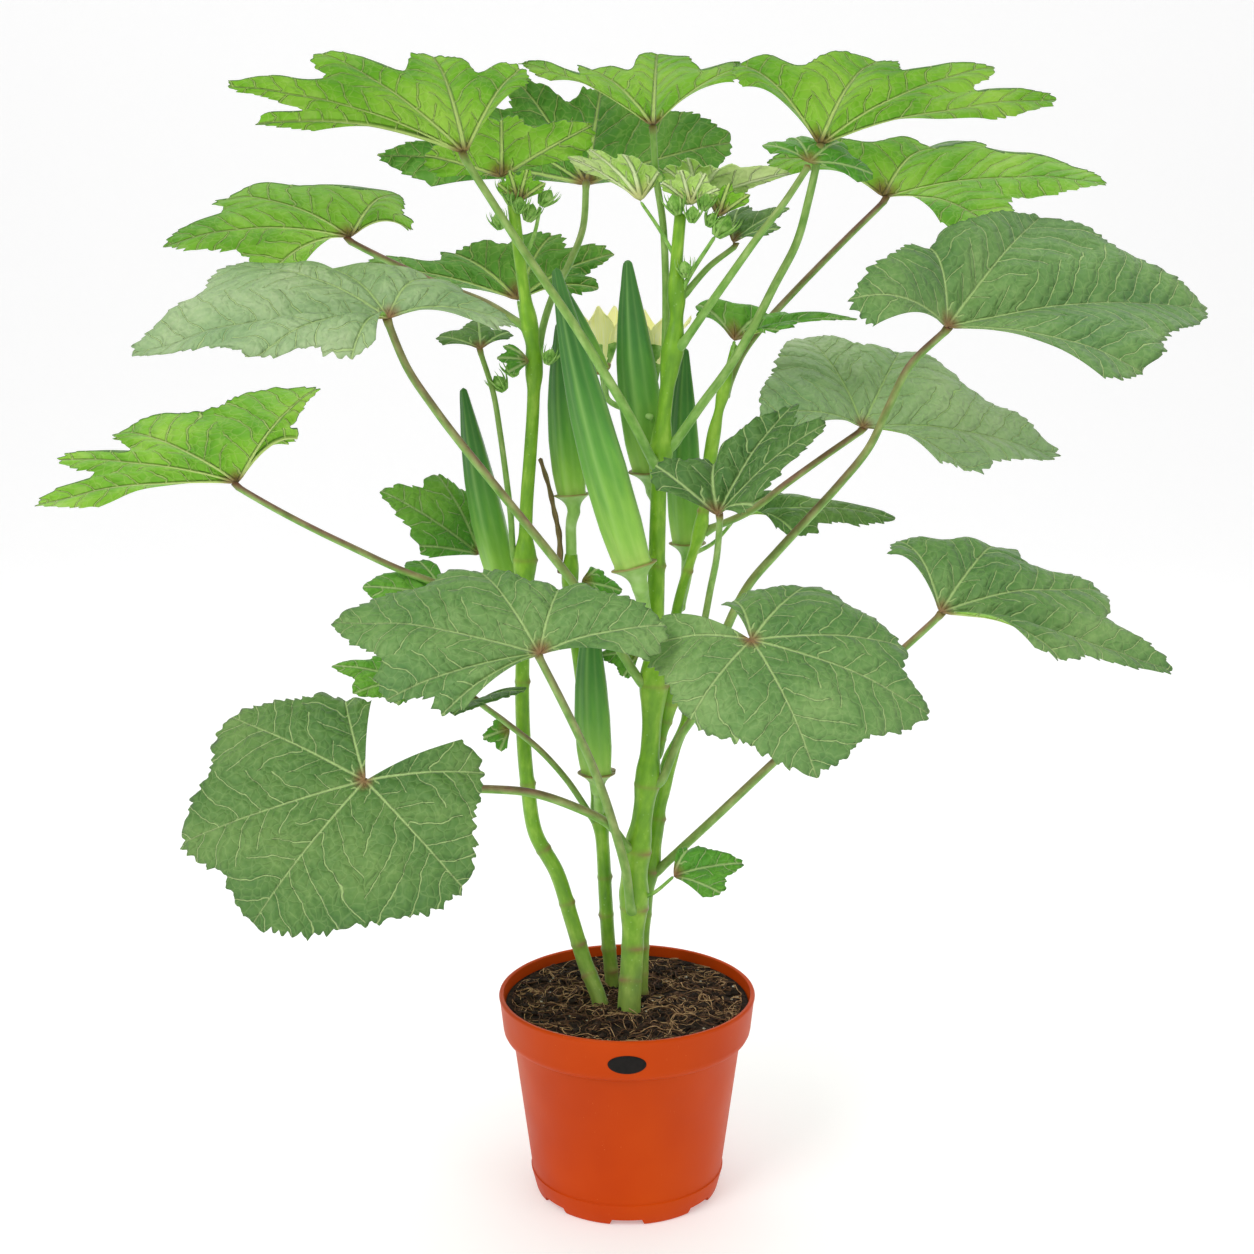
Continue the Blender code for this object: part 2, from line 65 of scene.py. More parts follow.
# One unit of a vein or skin map is this long on the plant
MAP_UNIT = 0.1
STALK_NODES = tuple(sorted(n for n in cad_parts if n.startswith("stalk_") or n == "dry_stalk"))
LEAF_NODES = tuple(sorted(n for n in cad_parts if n.startswith("leaf_")))
Point = np.ndarray
Socket = bpy.types.NodeSocket
Finish = bpy.types.Material
Thing = bpy.types.Object


# ---- small tools

def linear(hex_colour: str) -> tuple[float, float, float, float]:
    """Turn an sRGB hex colour into linear light.

    Args:
        hex_colour: six hex digits, such as "4f8a45".

    Returns:
        Red, green, blue and an alpha of 1.
    """
    parts = [int(hex_colour[i:i + 2], 16) / 255 for i in (0, 2, 4)]
    light = [p / 12.92 if p <= 0.04045 else ((p + 0.055) / 1.055) ** 2.4 for p in parts]
    return (light[0], light[1], light[2], 1.0)


def select_only(thing: Thing) -> None:
    """Make one object the only selected and the active one.

    Args:
        thing: the object.
    """
    bpy.ops.object.select_all(action="DESELECT")
    thing.select_set(True)
    bpy.context.view_layer.objects.active = thing


def edit_all(thing: Thing, *steps: Callable[[], object]) -> None:
    """Run steps of mesh editing, each on the whole of one object.

    Args:
        thing: the object.
        steps: the steps, in order.
    """
    select_only(thing)
    bpy.ops.object.mode_set(mode="EDIT")
    for step in steps:
        bpy.ops.mesh.select_all(action="SELECT")
        step()
    bpy.ops.object.mode_set(mode="OBJECT")


def unit(vectors: Point) -> Point:
    """Scale each vector along the last axis to a length of 1."""
    length = np.linalg.norm(vectors, axis=-1, keepdims=True)
    return vectors / np.maximum(length, 1e-12)


def spline(points: Point, places: Point) -> Point:
    """Read a Catmull-Rom curve through points.

    Args:
        points: the curve's points, one row each; a place of 0 is the first one.
        places: where to read it, counted in points.

    Returns:
        One row for each place.
    """
    ends = np.vstack([2 * points[0] - points[1], points, 2 * points[-1] - points[-2]])
    first = np.clip(np.floor(places).astype(int), 0, len(points) - 2)
    t = (places - first)[:, None]
    p0, p1, p2, p3 = (ends[first + k] for k in range(4))
    return 0.5 * (2 * p1 + (p2 - p0) * t + (2 * p0 - 5 * p1 + 4 * p2 - p3) * t ** 2
                  + (3 * p1 - p0 - 3 * p2 + p3) * t ** 3)


def bell(distance: Point, width: float) -> Point:
    """A smooth bump of height 1 at distance 0, which falls off over about a width."""
    return np.exp(-(distance / width) ** 2)


def waves(points: Point, size: float, seed: float) -> Point:
    """Smooth noise between -1 and 1 at each point, with lumps of about a size."""
    offset = Vector((seed * 7.3, seed * 3.1, seed * 5.7))
    return np.array([noise.noise(Vector(p) / size + offset) for p in points])


# ---- material tools

class Graph:
    """A material's node tree, with its Principled shader."""

    def __init__(self, name: str) -> None:
        """Start a material with only a shader and an output."""
        self.material = bpy.data.materials.new(name)
        self.material.use_nodes = True
        self.tree = self.material.node_tree
        self.shader = self.tree.nodes["Principled BSDF"]

    def add(self, kind: str, inputs: dict | None = None, ramp: Sequence | None = None,
            out: int | str = 0, **settings: object) -> Socket:
        """Add one node with its settings and links.

        Args:
            kind: the node's type.
            inputs: a value or another node's output for each named or numbered input.
            ramp: for a colour ramp, its (place, sRGB hex) stops.
            out: which output to return.
            settings: the node's own properties.

        Returns:
            The output asked for.
        """
        node = self.tree.nodes.new(kind)
        for key, value in settings.items():
            setattr(node, key, value)
        for key, value in (inputs or {}).items():
            self.join(node, key, value)
        if ramp:
            stops = node.color_ramp.elements
            while len(stops) < len(ramp):
                stops.new(0.5)
            for stop, (place, colour) in zip(stops, ramp):
                stop.position = place
                stop.color = linear(colour)
        return node.outputs[out]

    def join(self, node: bpy.types.Node, key: int | str, value: object) -> None:
        """Link a socket into a node's input, or set the input to a value.

        Args:
            node: the node.
            key: the input's name or number.
            value: a socket or a value.
        """
        if isinstance(value, Socket):
            self.tree.links.new(value, node.inputs[key])
        else:
            node.inputs[key].default_value = value

    def finish(self, **sockets: object) -> Finish:
        """Give the shader its values and links, an underscore standing for a space.

        Args:
            sockets: a value or another node's output for each named input.

        Returns:
            The material.
        """
        for key, value in sockets.items():
            self.join(self.shader, key.replace("_", " "), value)
        return self.material


def mix(g: Graph, share: object, first: object, second: object) -> Socket:
    """Mix two colours by a share between 0 and 1."""
    return g.add("ShaderNodeMix", {0: share, 6: first, 7: second}, out=2, data_type="RGBA")


def calc(g: Graph, operation: str, first: object, second: object = 0.0) -> Socket:
    """Do one sum on two numbers."""
    return g.add("ShaderNodeMath", {0: first, 1: second}, operation=operation)


def fade(g: Graph, value: object, start: float, end: float) -> Socket:
    """Fall smoothly from 1 at start to 0 at end."""
    inputs = {"Value": value, "From Min": start, "From Max": end, "To Min": 1.0, "To Max": 0.0}
    return g.add("ShaderNodeMapRange", inputs, interpolation_type="SMOOTHSTEP")


def between(g: Graph, value: object, low: float, high: float) -> Socket:
    """Spread a number from 0 to 1 over a range."""
    return g.add("ShaderNodeMapRange", {"Value": value, "To Min": low, "To Max": high})


def grain(g: Graph, vector: object, scale: float, detail: float = 3.0,
          rough: float = 0.5) -> Socket:
    """Noise between 0 and 1 on a vector."""
    return g.add("ShaderNodeTexNoise",
                 {"Vector": vector, "Scale": scale, "Detail": detail, "Roughness": rough})


def relief(g: Graph, height: object, depth_mm: float, strength: float = 1.0,
           under: object | None = None) -> Socket:
    """Turn a height from 0 to 1 into a bump of a real depth.

    Args:
        g: the material's graph.
        height: the height.
        depth_mm: how deep a height of 1 is.
        strength: the share of the bump that shows.
        under: a coarser bump that it lies on.

    Returns:
        The bent normal.
    """
    inputs = {"Height": height, "Distance": depth_mm * MM, "Strength": strength}
    if under is not None:
        inputs["Normal"] = under
    return g.add("ShaderNodeBump", inputs)


def times(g: Graph, first: object, second: object) -> Socket:
    """Multiply two numbers."""
    return calc(g, "MULTIPLY", first, second)


def plus(g: Graph, first: object, second: object) -> Socket:
    """Add two numbers."""
    return calc(g, "ADD", first, second)


def minus(g: Graph, first: object, second: object) -> Socket:
    """Take the second number from the first."""
    return calc(g, "SUBTRACT", first, second)


def blend(g: Graph, first: object, share: float, second: object, other: float) -> Socket:
    """Add two numbers, each times its own share."""
    return plus(g, times(g, first, share), times(g, second, other))


def coat(g: Graph, under: object, mask: object, strength: float, colour: str) -> Socket:
    """Lay a colour over another where a mask is 1, and no more than by its strength."""
    return mix(g, times(g, mask, strength), under, linear(colour))


def shades(g: Graph, value: object, *stops: tuple[float, str]) -> Socket:
    """Turn a number into a colour by its (place, sRGB hex) stops."""
    return g.add("ShaderNodeValToRGB", {0: value}, ramp=stops)


def mark(g: Graph, name: str) -> Socket:
    """The number that write_attribute gave each of the piece's points."""
    return g.add("ShaderNodeAttribute", out="Fac", attribute_name=name)


def streaks(g: Graph, fine: float, short: float, scale: float, detail: float = 4.0,
            rough: float = 0.5) -> Socket:
    """Noise drawn out along a piece, as its fibres lie.

    Args:
        g: the material's graph.
        fine: how many times narrower a streak is than plain noise.
        short: how many times shorter.
        scale: the noise's scale.
        detail: its layers.
        rough: the share of its finer layers.

    Returns:
        A number between 0 and 1.
    """
    skin = g.add("ShaderNodeUVMap", uv_map=SKIN_MAP)
    long = g.add("ShaderNodeMapping", {"Vector": skin, "Scale": (fine, short, 1.0)})
    return grain(g, long, scale, detail, rough)


def place(g: Graph) -> Socket:
    """The point's own place on the plant, in metres."""
    return g.add("ShaderNodeTexCoord", out="Object")


# ---- finishes

class LeafTone(Enum):
    """A leaf's upper side: darkest, middle and lightest green, the bright and the pale ones with painted
    top light and painted sheen.
    """

    DEEP = ("336427", "527d38", "7a9c52")
    BLUISH = ("3e7035", "628d47", "8eb068")
    # Lightened copy: a painted whitish sheen, as on blades seen at a grazing angle
    PALE = ("6d965d", "93b27b", "b8ca9b")
    # Brightened copy: painted top light
    FRESH = ("3f8a1e", "5a9c28", "80b63e")
    YOUNG = ("94c84a", "bce07c", "e2f2b4")


@dataclass(frozen=True)
class VeinNet:
    """Vein pattern of an okra blade: ribs to the lobe tips, side veins and a fine net."""

    rib_mm: float = 1.05
    side_spacing_mm: float = 11.5
    side_mm: float = 0.5
    mesh_mm: float = 5.0
    # How far a side vein strays, leans forward, curls back and is set off from the one across
    stray: float = 0.11
    lean: float = 0.80
    curl: float = 0.7
    stagger: float = 0.45

    def masks(self, g: Graph) -> tuple[Socket, ...]:
        """Draw the veins on the vein map, whose X runs along the nearest rib and Y across it.

        Args:
            g: the material's graph.

        Returns:
            The ribs, the side veins, the fine net, the swell between side veins and the pucker
            between net veins, each 0 to 1, then the distance from the stalk.
        """
        step = MM / MAP_UNIT
        flat = g.add("ShaderNodeUVMap", uv_map=VEIN_MAP)
        wander = g.add("ShaderNodeTexNoise", {"Vector": flat, "Scale": 5.0, "Detail": 3.0}, out=1)
        shift = g.add("ShaderNodeVectorMath", {0: wander, 1: (0.5, 0.5, 0.5)}, operation="SUBTRACT")
        drift = g.add("ShaderNodeVectorMath", {0: shift, "Scale": self.stray}, operation="SCALE")
        bent = g.add("ShaderNodeVectorMath", {0: flat, 1: drift}, operation="ADD")
        straight = g.add("ShaderNodeSeparateXYZ", {0: flat}).node
        loose = g.add("ShaderNodeSeparateXYZ", {0: bent}).node
        across = calc(g, "ABSOLUTE", straight.outputs["Y"])
        taper = times(g, straight.outputs["X"], 0.006)
        ribs = fade(g, plus(g, across, taper), 0.3 * self.rib_mm * step,
                    1.15 * self.rib_mm * step)
        off = calc(g, "ABSOLUTE", loose.outputs["Y"])
        lean = times(g, off, self.lean)
        curl = times(g, times(g, off, off), self.curl)
        side = calc(g, "GREATER_THAN", straight.outputs["Y"], 0.0)
        stagger = times(g, side, self.stagger * self.side_spacing_mm * step)
        run = plus(g, minus(g, plus(g, loose.outputs["X"], stagger), lean), curl)
        turn = calc(g, "FRACT", calc(g, "DIVIDE", run, self.side_spacing_mm * step))
        gap = calc(g, "ABSOLUTE", minus(g, turn, 0.5))
        width = self.side_mm / self.side_spacing_mm
        sides = fade(g, gap, 0.25 * width, 1.3 * width)
        cell = g.add("ShaderNodeTexVoronoi", {"Vector": bent, "Scale": 1 / (self.mesh_mm * step)},
                     feature="DISTANCE_TO_EDGE")
        net = fade(g, cell, 0.015, 0.075)
        swell = g.add("ShaderNodeMapRange", {"Value": gap, "From Min": 0.0, "From Max": 0.5},
                      interpolation_type="SMOOTHSTEP")
        cells = g.add("ShaderNodeMapRange", {"Value": cell, "From Max": 0.35},
                      interpolation_type="SMOOTHSTEP")
        far = g.add("ShaderNodeVectorMath", {0: flat}, operation="LENGTH", out="Value")
        return ribs, sides, net, swell, cells, far


@dataclass(frozen=True)
class LeafUpper:
    """Living leaf, upper side: matt waxy skin with fine hairs, veins sunk and lighter."""

    tone: LeafTone
    vein: str = "aecb80"
    heart: str = "8c4a34"
    veins: VeinNet = VeinNet()

    def build(self) -> Finish:
        """Make a green that varies in soft clouds, with pale veins and a red-brown heart."""
        g = Graph(f"living_leaf_upper_{self.tone.name.lower()}")
        ribs, sides, net, swell, cells, far = self.veins.masks(g)
        dark, middle, light = self.tone.value
        here = place(g)
        cloud = grain(g, here, 22.0, 4.0)
        mottle = grain(g, here, 420.0, 2.0)
        tint = blend(g, cloud, 0.75, mottle, 0.25)
        body = shades(g, tint, (0.28, dark), (0.5, middle), (0.75, light))
        # Painted highlight: lighter on the bulges between side veins, where the quilted surface catches the
        # light
        colour = coat(g, body, swell, 0.14, light)
        for mask, strength in ((net, 0.12), (sides, 0.75), (ribs, 0.95)):
            colour = coat(g, colour, mask, strength, self.vein)
        colour = coat(g, colour, fade(g, far, 0.015, 0.085), 0.8, self.heart)
        sunk = times(g, calc(g, "MAXIMUM", ribs, sides), 0.35)
        puckers = blend(g, swell, 0.65, cells, 0.2)
        coarse = relief(g, minus(g, puckers, sunk), 2.0)
        fine = relief(g, minus(g, mottle, times(g, net, 0.4)), 0.2, 0.8, coarse)
        rough = between(g, cloud, 0.5, 0.68)
        return g.finish(Base_Color=colour, Roughness=rough, Normal=fine, Sheen_Weight=0.12,
                        Sheen_Roughness=0.4, Specular_IOR_Level=0.42, IOR=1.45)


class UnderTone(Enum):
    """How an under side is lit through, painted into its colour: darkest, middle and lightest green, then
    its veins.
    """

    LIT = ("5ca418", "82c22a", "a8d84c", "c8de80")
    SHADED = ("3f7f1c", "57942a", "78ad44", "b4d070")
    YOUNG = ("98cc44", "bee278", "e4f5ac", "e8f4bc")


@dataclass(frozen=True)
class LeafUnder:
    """Living leaf, under side: thinner skin, its bright green painted light that comes through it, veins
    raised and pale.
    """

    tone: UnderTone = UnderTone.LIT
    heart: str = "7a3028"
    veins: VeinNet = VeinNet(rib_mm=1.1, side_mm=0.6)

    def build(self) -> Finish:
        """Make a bright yellow-green of painted light through the blade, with standing pale veins and a
        tinted heart.
        """
        g = Graph(f"living_leaf_under_{self.tone.name.lower()}")
        *tones, vein = self.tone.value
        ribs, sides, net, swell, cells, far = self.veins.masks(g)
        here = place(g)
        cloud = grain(g, here, 26.0, 4.0)
        body = shades(g, cloud, (0.3, tones[0]), (0.5, tones[1]), (0.74, tones[2]))
        colour = body
        for mask, strength in ((net, 0.2), (sides, 0.58), (ribs, 0.85)):
            colour = coat(g, colour, mask, strength, vein)
        colour = coat(g, colour, fade(g, far, 0.03, 0.11), 0.75, self.heart)
        raised = calc(g, "MAXIMUM", ribs, times(g, sides, 0.8))
        hollows = blend(g, swell, 0.6, cells, 0.14)
        coarse = relief(g, minus(g, raised, hollows), 1.7)
        fine = relief(g, net, 0.08, 0.8, coarse)
        return g.finish(Base_Color=colour, Roughness=0.58, Normal=fine, Sheen_Weight=0.1,
                        Sheen_Roughness=0.4, Specular_IOR_Level=0.38, IOR=1.45)


@dataclass(frozen=True)
class StemSkin:
    """Green living stem: smooth waxy skin with long fibres and scars, corky near the soil."""

    soil_level: float
    fibre_mm: float = 1.1

    def build(self) -> Finish:
        """Make a green with fine long streaks, duller and browner just over the soil."""
        g = Graph("green_stem_skin")
        streak = streaks(g, 9.0, 3.0, 2.6)
        here = place(g)
        cloud = grain(g, here, 30.0, 3.0)
        tint = blend(g, streak, 0.6, cloud, 0.4)
        body = shades(g, tint, (0.3, "568c16"), (0.5, "7aae22"), (0.72, "abd34c"))
        height = g.add("ShaderNodeSeparateXYZ", {0: here}).node.outputs["Z"]
        low = fade(g, height, self.soil_level, self.soil_level + 0.045)
        cork = shades(g, streak, (0.3, "6f7440"), (0.6, "8c9450"), (0.8, "a9a468"))
        aged = mix(g, times(g, low, 0.55), body, cork)
        scar = mark(g, "scar")
        dots = g.add("ShaderNodeTexVoronoi", {"Vector": here, "Scale": 260.0})
        flecked = coat(g, aged, fade(g, dots, 0.05, 0.16), 0.28, "b9d98a")
        colour = coat(g, flecked, scar, 0.85, "8f6a45")
        fine = relief(g, streak, 0.3, 0.6)
        return g.finish(Base_Color=colour, Roughness=0.42, Normal=fine, Specular_IOR_Level=0.5,
                        Sheen_Weight=0.08, IOR=1.45)


@dataclass(frozen=True)
class StalkSkin:
    """Leaf stalk: green below, flushed purple-brown on the side that faces the light."""

    flush: float = 0.8

    def build(self) -> Finish:
        """Make green to purple-brown by the flush attribute, with long fibres."""
        g = Graph("leaf_stalk_skin" if self.flush > 0.5 else "leaf_stalk_skin_green")
        streak = streaks(g, 8.0, 3.0, 3.0)
        green = shades(g, streak, (0.3, "5f9a30"), (0.5, "7db24a"), (0.75, "a3cb72"))
        purple = shades(g, streak, (0.3, "6f4a3f"), (0.5, "8a6252"), (0.75, "a68468"))
        flush = mark(g, "flush")
        blotch = grain(g, place(g), 70.0, 3.0)
        share = times(g, times(g, flush, self.flush),
                     plus(g, blotch, 0.55))
        toned = mix(g, share, green, purple)
        knuckle = mark(g, "knuckle")
        colour = coat(g, toned, knuckle, 0.8, "7c3a2c")
        fine = relief(g, streak, 0.2, 0.6)
        return g.finish(Base_Color=colour, Roughness=0.46, Normal=fine, Specular_IOR_Level=0.45,
                        Sheen_Weight=0.1, IOR=1.45)


@dataclass(frozen=True)
class DryStalkSkin:
    """Withered stalk: dull brown fibres that have shrunk into ridges."""

    ridge_mm: float = 0.25

    def build(self) -> Finish:
        """Make the dull brown, deeply streaked material."""
        g = Graph("withered_stalk")
        streak = streaks(g, 12.0, 2.0, 3.0, 5.0, 0.65)
        colour = shades(g, streak, (0.3, "5c4a34"), (0.5, "8a7450"), (0.75, "a8a070"))
        return g.finish(Base_Color=colour, Roughness=0.82, Normal=relief(g, streak, self.ridge_mm),
                        Specular_IOR_Level=0.3)


@dataclass(frozen=True)
class PodSkin:
    """Okra pod: ridged skin with a velvet of fine hairs, light at the calyx, dark at the tip."""

    hair_mm: float = 0.5

    def build(self) -> Finish:
        """Make a green that darkens to the tip, with light lines on the ridges."""
        g = Graph("okra_pod_skin")
        streak = streaks(g, 7.0, 1.6, 2.4)
        here = place(g)
        cloud = grain(g, here, 60.0, 3.0)
        ripe = mark(g, "ripe")
        ridge = mark(g, "ridge")
        shift = times(g, minus(g, streak, 0.5), 0.5)
        tone = plus(g, ripe, shift)
        body = shades(g, tone, (0.0, "bbdd6c"), (0.2, "94c84c"), (0.48, "5f9f38"), (0.78, "3a7a30"),
                      (1.0, "2d682a"))
        clouded = coat(g, body, cloud, 0.3, "6aa83e")
        colour = coat(g, clouded, ridge, 0.36, "a8cf78")
        hairs = grain(g, here, 1 / (self.hair_mm * MM), 2.0)
        coarse = relief(g, streak, 0.5, 0.5)
        fine = relief(g, hairs, 0.12, 0.7, coarse)
        return g.finish(Base_Color=colour, Roughness=0.48, Normal=fine, Sheen_Weight=0.22,
                        Sheen_Roughness=0.35, Specular_IOR_Level=0.45, IOR=1.45)


@dataclass(frozen=True)
class CalyxSkin:
    """Calyx collar: pale green and smooth, with a thin brown edge where the sepals fell."""

    edge: str = "9a7a45"

    def build(self) -> Finish:
        """Make the pale green material with its brown edge."""
        g = Graph("calyx_collar")
        cloud = grain(g, place(g), 90.0, 3.0)
        body = shades(g, cloud, (0.3, "76ad42"), (0.5, "93c25c"), (0.75, "b6d88a"))
        worn = mark(g, "worn")
        colour = mix(g, worn, body, linear(self.edge))
        return g.finish(Base_Color=colour, Roughness=0.5, Normal=relief(g, cloud, 0.3),
                        Sheen_Weight=0.1)


@dataclass(frozen=True)
class PetalTissue:
    """Okra petal: thin matt tissue, cream yellow with faint lines that fan from its foot, and a faint glow
    of painted light.
    """

    line_mm: float = 0.8

    def build(self) -> Finish:
        """Make the cream yellow material with its fine lines and its faint glow, painted light through the
        petal.
        """
        g = Graph("petal_tissue")
        line = streaks(g, 20.0, 1.5, 2.0, 3.0)
        colour = shades(g, line, (0.3, "eee88a"), (0.5, "f7f2ac"), (0.75, "fdfad0"))
        # The emission is painted light, standing in for light that passes through the thin petal
        return g.finish(Base_Color=colour, Roughness=0.6, Normal=relief(g, line, 0.2, 0.6),
                        Sheen_Weight=0.1, Emission_Color=colour, Emission_Strength=0.16)


@dataclass(frozen=True)
class BudSkin:
    """Flower bud: tight hairy green sepals, yellow-green where the light comes through."""

    hair_mm: float = 0.6

    def build(self) -> Finish:
        """Make the hairy green material."""
        g = Graph("hairy_bud")
        here = place(g)
        cloud = grain(g, here, 1 / (4 * MM), 3.0)
        colour = shades(g, cloud, (0.3, "5c942e"), (0.5, "83b64b"), (0.75, "b4d67f"))
        hairs = grain(g, here, 1 / (self.hair_mm * MM), 2.0)
        return g.finish(Base_Color=colour, Roughness=0.6, Normal=relief(g, hairs, 0.25),
                        Sheen_Weight=0.3, Sheen_Roughness=0.3)


@dataclass(frozen=True)
class PottingSoil:
    """Peat potting soil: dark moist crumbs, lighter where they have dried."""

    crumb_mm: float = 2.2

    def build(self) -> Finish:
        """Make the dark crumbly material."""
        g = Graph("peat_potting_soil")
        here = place(g)
        crumb = g.add("ShaderNodeTexVoronoi", {"Vector": here, "Scale": 1 / (self.crumb_mm * MM)})
        cloud = grain(g, here, 160.0, 6.0, 0.62)
        tone = blend(g, crumb, 0.4, cloud, 0.65)
        colour = shades(g, tone, (0.3, "0d0806"), (0.5, "20160f"), (0.68, "3a2a20"), (0.85, "5e4838"))
        coarse = relief(g, tone, 1.2)
        fine = relief(g, grain(g, here, 1400.0, 3.0), 0.3, 0.8, coarse)
        return g.finish(Base_Color=colour, Roughness=0.93, Normal=fine, Specular_IOR_Level=0.25)


@dataclass(frozen=True)
class RootFibre:
    """Dead root fibre: thin, curly and dull, from brown to straw."""

    name: str
    dark: str
    light: str

    def build(self) -> Finish:
        """Make one tone of fibre, which varies along its length."""
        g = Graph(self.name)
        cloud = grain(g, place(g), 300.0, 3.0)
        colour = shades(g, cloud, (0.3, self.dark), (0.7, self.light))
        return g.finish(Base_Color=colour, Roughness=0.8, Normal=relief(g, cloud, 0.15),
                        Specular_IOR_Level=0.3)


@dataclass(frozen=True)
class NurseryPlastic:
    """Injection-moulded polypropylene: terracotta orange, satin, with faint scuffs and dust, lighter
    towards the rim by painted light.
    """

    low: float
    high: float
    scuff_mm: float = 0.9

    def build(self) -> Finish:
        """Make a satin orange with flow clouds, lighter towards the rim by painted light, fine upright
        scuffs and pale rubbed specks.
        """
        g = Graph("moulded_polypropylene_orange")
        here = place(g)
        cloud = grain(g, here, 14.0, 3.0)
        body = shades(g, cloud, (0.3, "b83800"), (0.5, "c34000"), (0.72, "cc4902"))
        height = g.add("ShaderNodeSeparateXYZ", {0: here}).node.outputs["Z"]
        level = g.add("ShaderNodeMapRange", {"Value": height, "From Min": self.low,
                                             "From Max": self.high})
        # Painted light: a little lighter towards the rim, where the light from above falls
        lit_towards_rim = coat(g, body, level, 0.3, "c54a04")
        tall = g.add("ShaderNodeMapping", {"Vector": here, "Scale": (1.0, 1.0, 0.12)})
        scrape = grain(g, tall, 1 / (self.scuff_mm * MM), 2.0)
        patch = grain(g, here, 45.0, 2.0)
        worn = times(g, fade(g, scrape, 0.24, 0.31), fade(g, patch, 0.40, 0.52))
        dots = g.add("ShaderNodeTexVoronoi", {"Vector": here, "Scale": 300.0})
        speck = times(g, fade(g, dots, 0.04, 0.10), fade(g, patch, 0.36, 0.48))
        marks = calc(g, "MAXIMUM", times(g, worn, 0.12), times(g, speck, 0.4))
        colour = mix(g, marks, lit_towards_rim, linear("e88a50"))
        rough = between(g, patch, 0.36, 0.52)
        coarse = relief(g, cloud, 0.25, 0.5)
        fine = relief(g, grain(g, here, 900.0, 2.0), 0.03, 0.6, coarse)
        return g.finish(Base_Color=colour, Roughness=rough, Normal=fine, Specular_IOR_Level=0.11,
                        IOR=1.49)


@dataclass(frozen=True)
class BadgeVinyl:
    """Blank vinyl badge: dark printed film, satin, with a faint rub."""

    def build(self) -> Finish:
        """Make the dark film."""
        g = Graph("blank_vinyl_badge")
        cloud = grain(g, place(g), 400.0, 3.0)
        colour = shades(g, cloud, (0.3, "141210"), (0.8, "201c1a"))
        return g.finish(Base_Color=colour, Roughness=0.45, Normal=relief(g, cloud, 0.03),
                        Specular_IOR_Level=0.12)


# ---- sheets and tubes

def add_sheet(name: str, columns: int, rows: int) -> Thing:
    """Add a flat grid, to be laid over a form by lay_sheet.

    Args:
        name: the piece's name.
        columns: faces from side to side.
        rows: faces from the first row to the last.

    Returns:
        The grid's object, with a UV map that runs from 0 to 1 each way.
    """
    bpy.ops.object.select_all(action="DESELECT")
    bpy.ops.mesh.primitive_grid_add(x_subdivisions=columns, y_subdivisions=rows, size=1.0)
    sheet = bpy.context.object
    sheet.name = name
    sheet.data.name = name
    return sheet


def lay_sheet(sheet: Thing, points: Point) -> None:
    """Move a grid's points onto a form.

    Args:
        sheet: the grid.
        points: a place for each, by row and then by column.
    """
    flat = points.reshape(-1, 3)
    sheet.data.vertices.foreach_set("co", flat.astype(np.float32).ravel())
    sheet.data.update()


def write_attribute(sheet: Thing, name: str, values: Point) -> None:
    """Give each of a sheet's points a number that its material or a later step reads."""
    attribute = sheet.data.attributes.new(name, "FLOAT", "POINT")
    attribute.data.foreach_set("value", values.astype(np.float32).ravel())


def stretch_map(sheet: Thing, wide: float, tall: float) -> None:
    """Scale a sheet's UV map to the form's real girth and length.

    Args:
        sheet: the sheet.
        wide: the girth.
        tall: the length.
    """
    loops = len(sheet.data.loops)
    flat = np.empty(loops * 2, np.float32)
    layer = sheet.data.uv_layers[SKIN_MAP]
    layer.data.foreach_get("uv", flat)
    flat = flat.reshape(-1, 2) * (wide / MAP_UNIT, tall / MAP_UNIT)
    layer.data.foreach_set("uv", flat.astype(np.float32).ravel())


def close_up(sheet: Thing, outside: bool = True) -> None:
    """Merge a sheet's meeting points and shade it smooth.

    Args:
        sheet: the sheet.
        outside: whether it is a closed form, whose faces are turned out.
    """
    steps = [partial(bpy.ops.mesh.remove_doubles, threshold=2e-6)]
    if outside:
        steps.append(partial(bpy.ops.mesh.normals_make_consistent, inside=False))
    edit_all(sheet, *steps)
    bpy.ops.object.shade_smooth()


def apply_modifier(piece: Thing, kind: str, **settings: object) -> None:
    """Add one modifier and apply it.

    Args:
        piece: the object.
        kind: the modifier's type.
        settings: its own properties.
    """
    select_only(piece)
    modifier = piece.modifiers.new(kind.lower(), kind)
    for key, value in settings.items():
        setattr(modifier, key, value)
    bpy.ops.object.modifier_apply(modifier=modifier.name)


def set_in_place(piece: Thing, nodes: Iterable[str] = ()) -> None:
    """Hand a finished piece to the frame.

    Args:
        piece: the finished object.
        nodes: the CAD nodes that it stands for.
    """
    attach(piece, "root")
    if nodes:
        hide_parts(*nodes)
    LOG.info("%s: %d faces", piece.name, len(piece.data.polygons))


def face_towards(sheet: Thing, way: Sequence[float]) -> None:
    """Turn a sheet over if its faces look away from a direction.

    Args:
        sheet: the open sheet.
        way: the direction.
    """
    normals = np.empty(len(sheet.data.polygons) * 3, np.float32)
    sheet.data.polygons.foreach_get("normal", normals)
    if (normals.reshape(-1, 3) @ np.array(way)).sum() < 0:
        edit_all(sheet, bpy.ops.mesh.flip_normals)


def hand_over(sheet: Thing, finish: Finish, nodes: Iterable[str] = ()) -> None:
    """Give a laid sheet its finish, close it and hand it to the frame.

    Args:
        sheet: the sheet.
        finish: its finish.
        nodes: the CAD nodes that it stands for.
    """
    sheet.data.materials.append(finish)
    close_up(sheet)
    set_in_place(sheet, nodes)


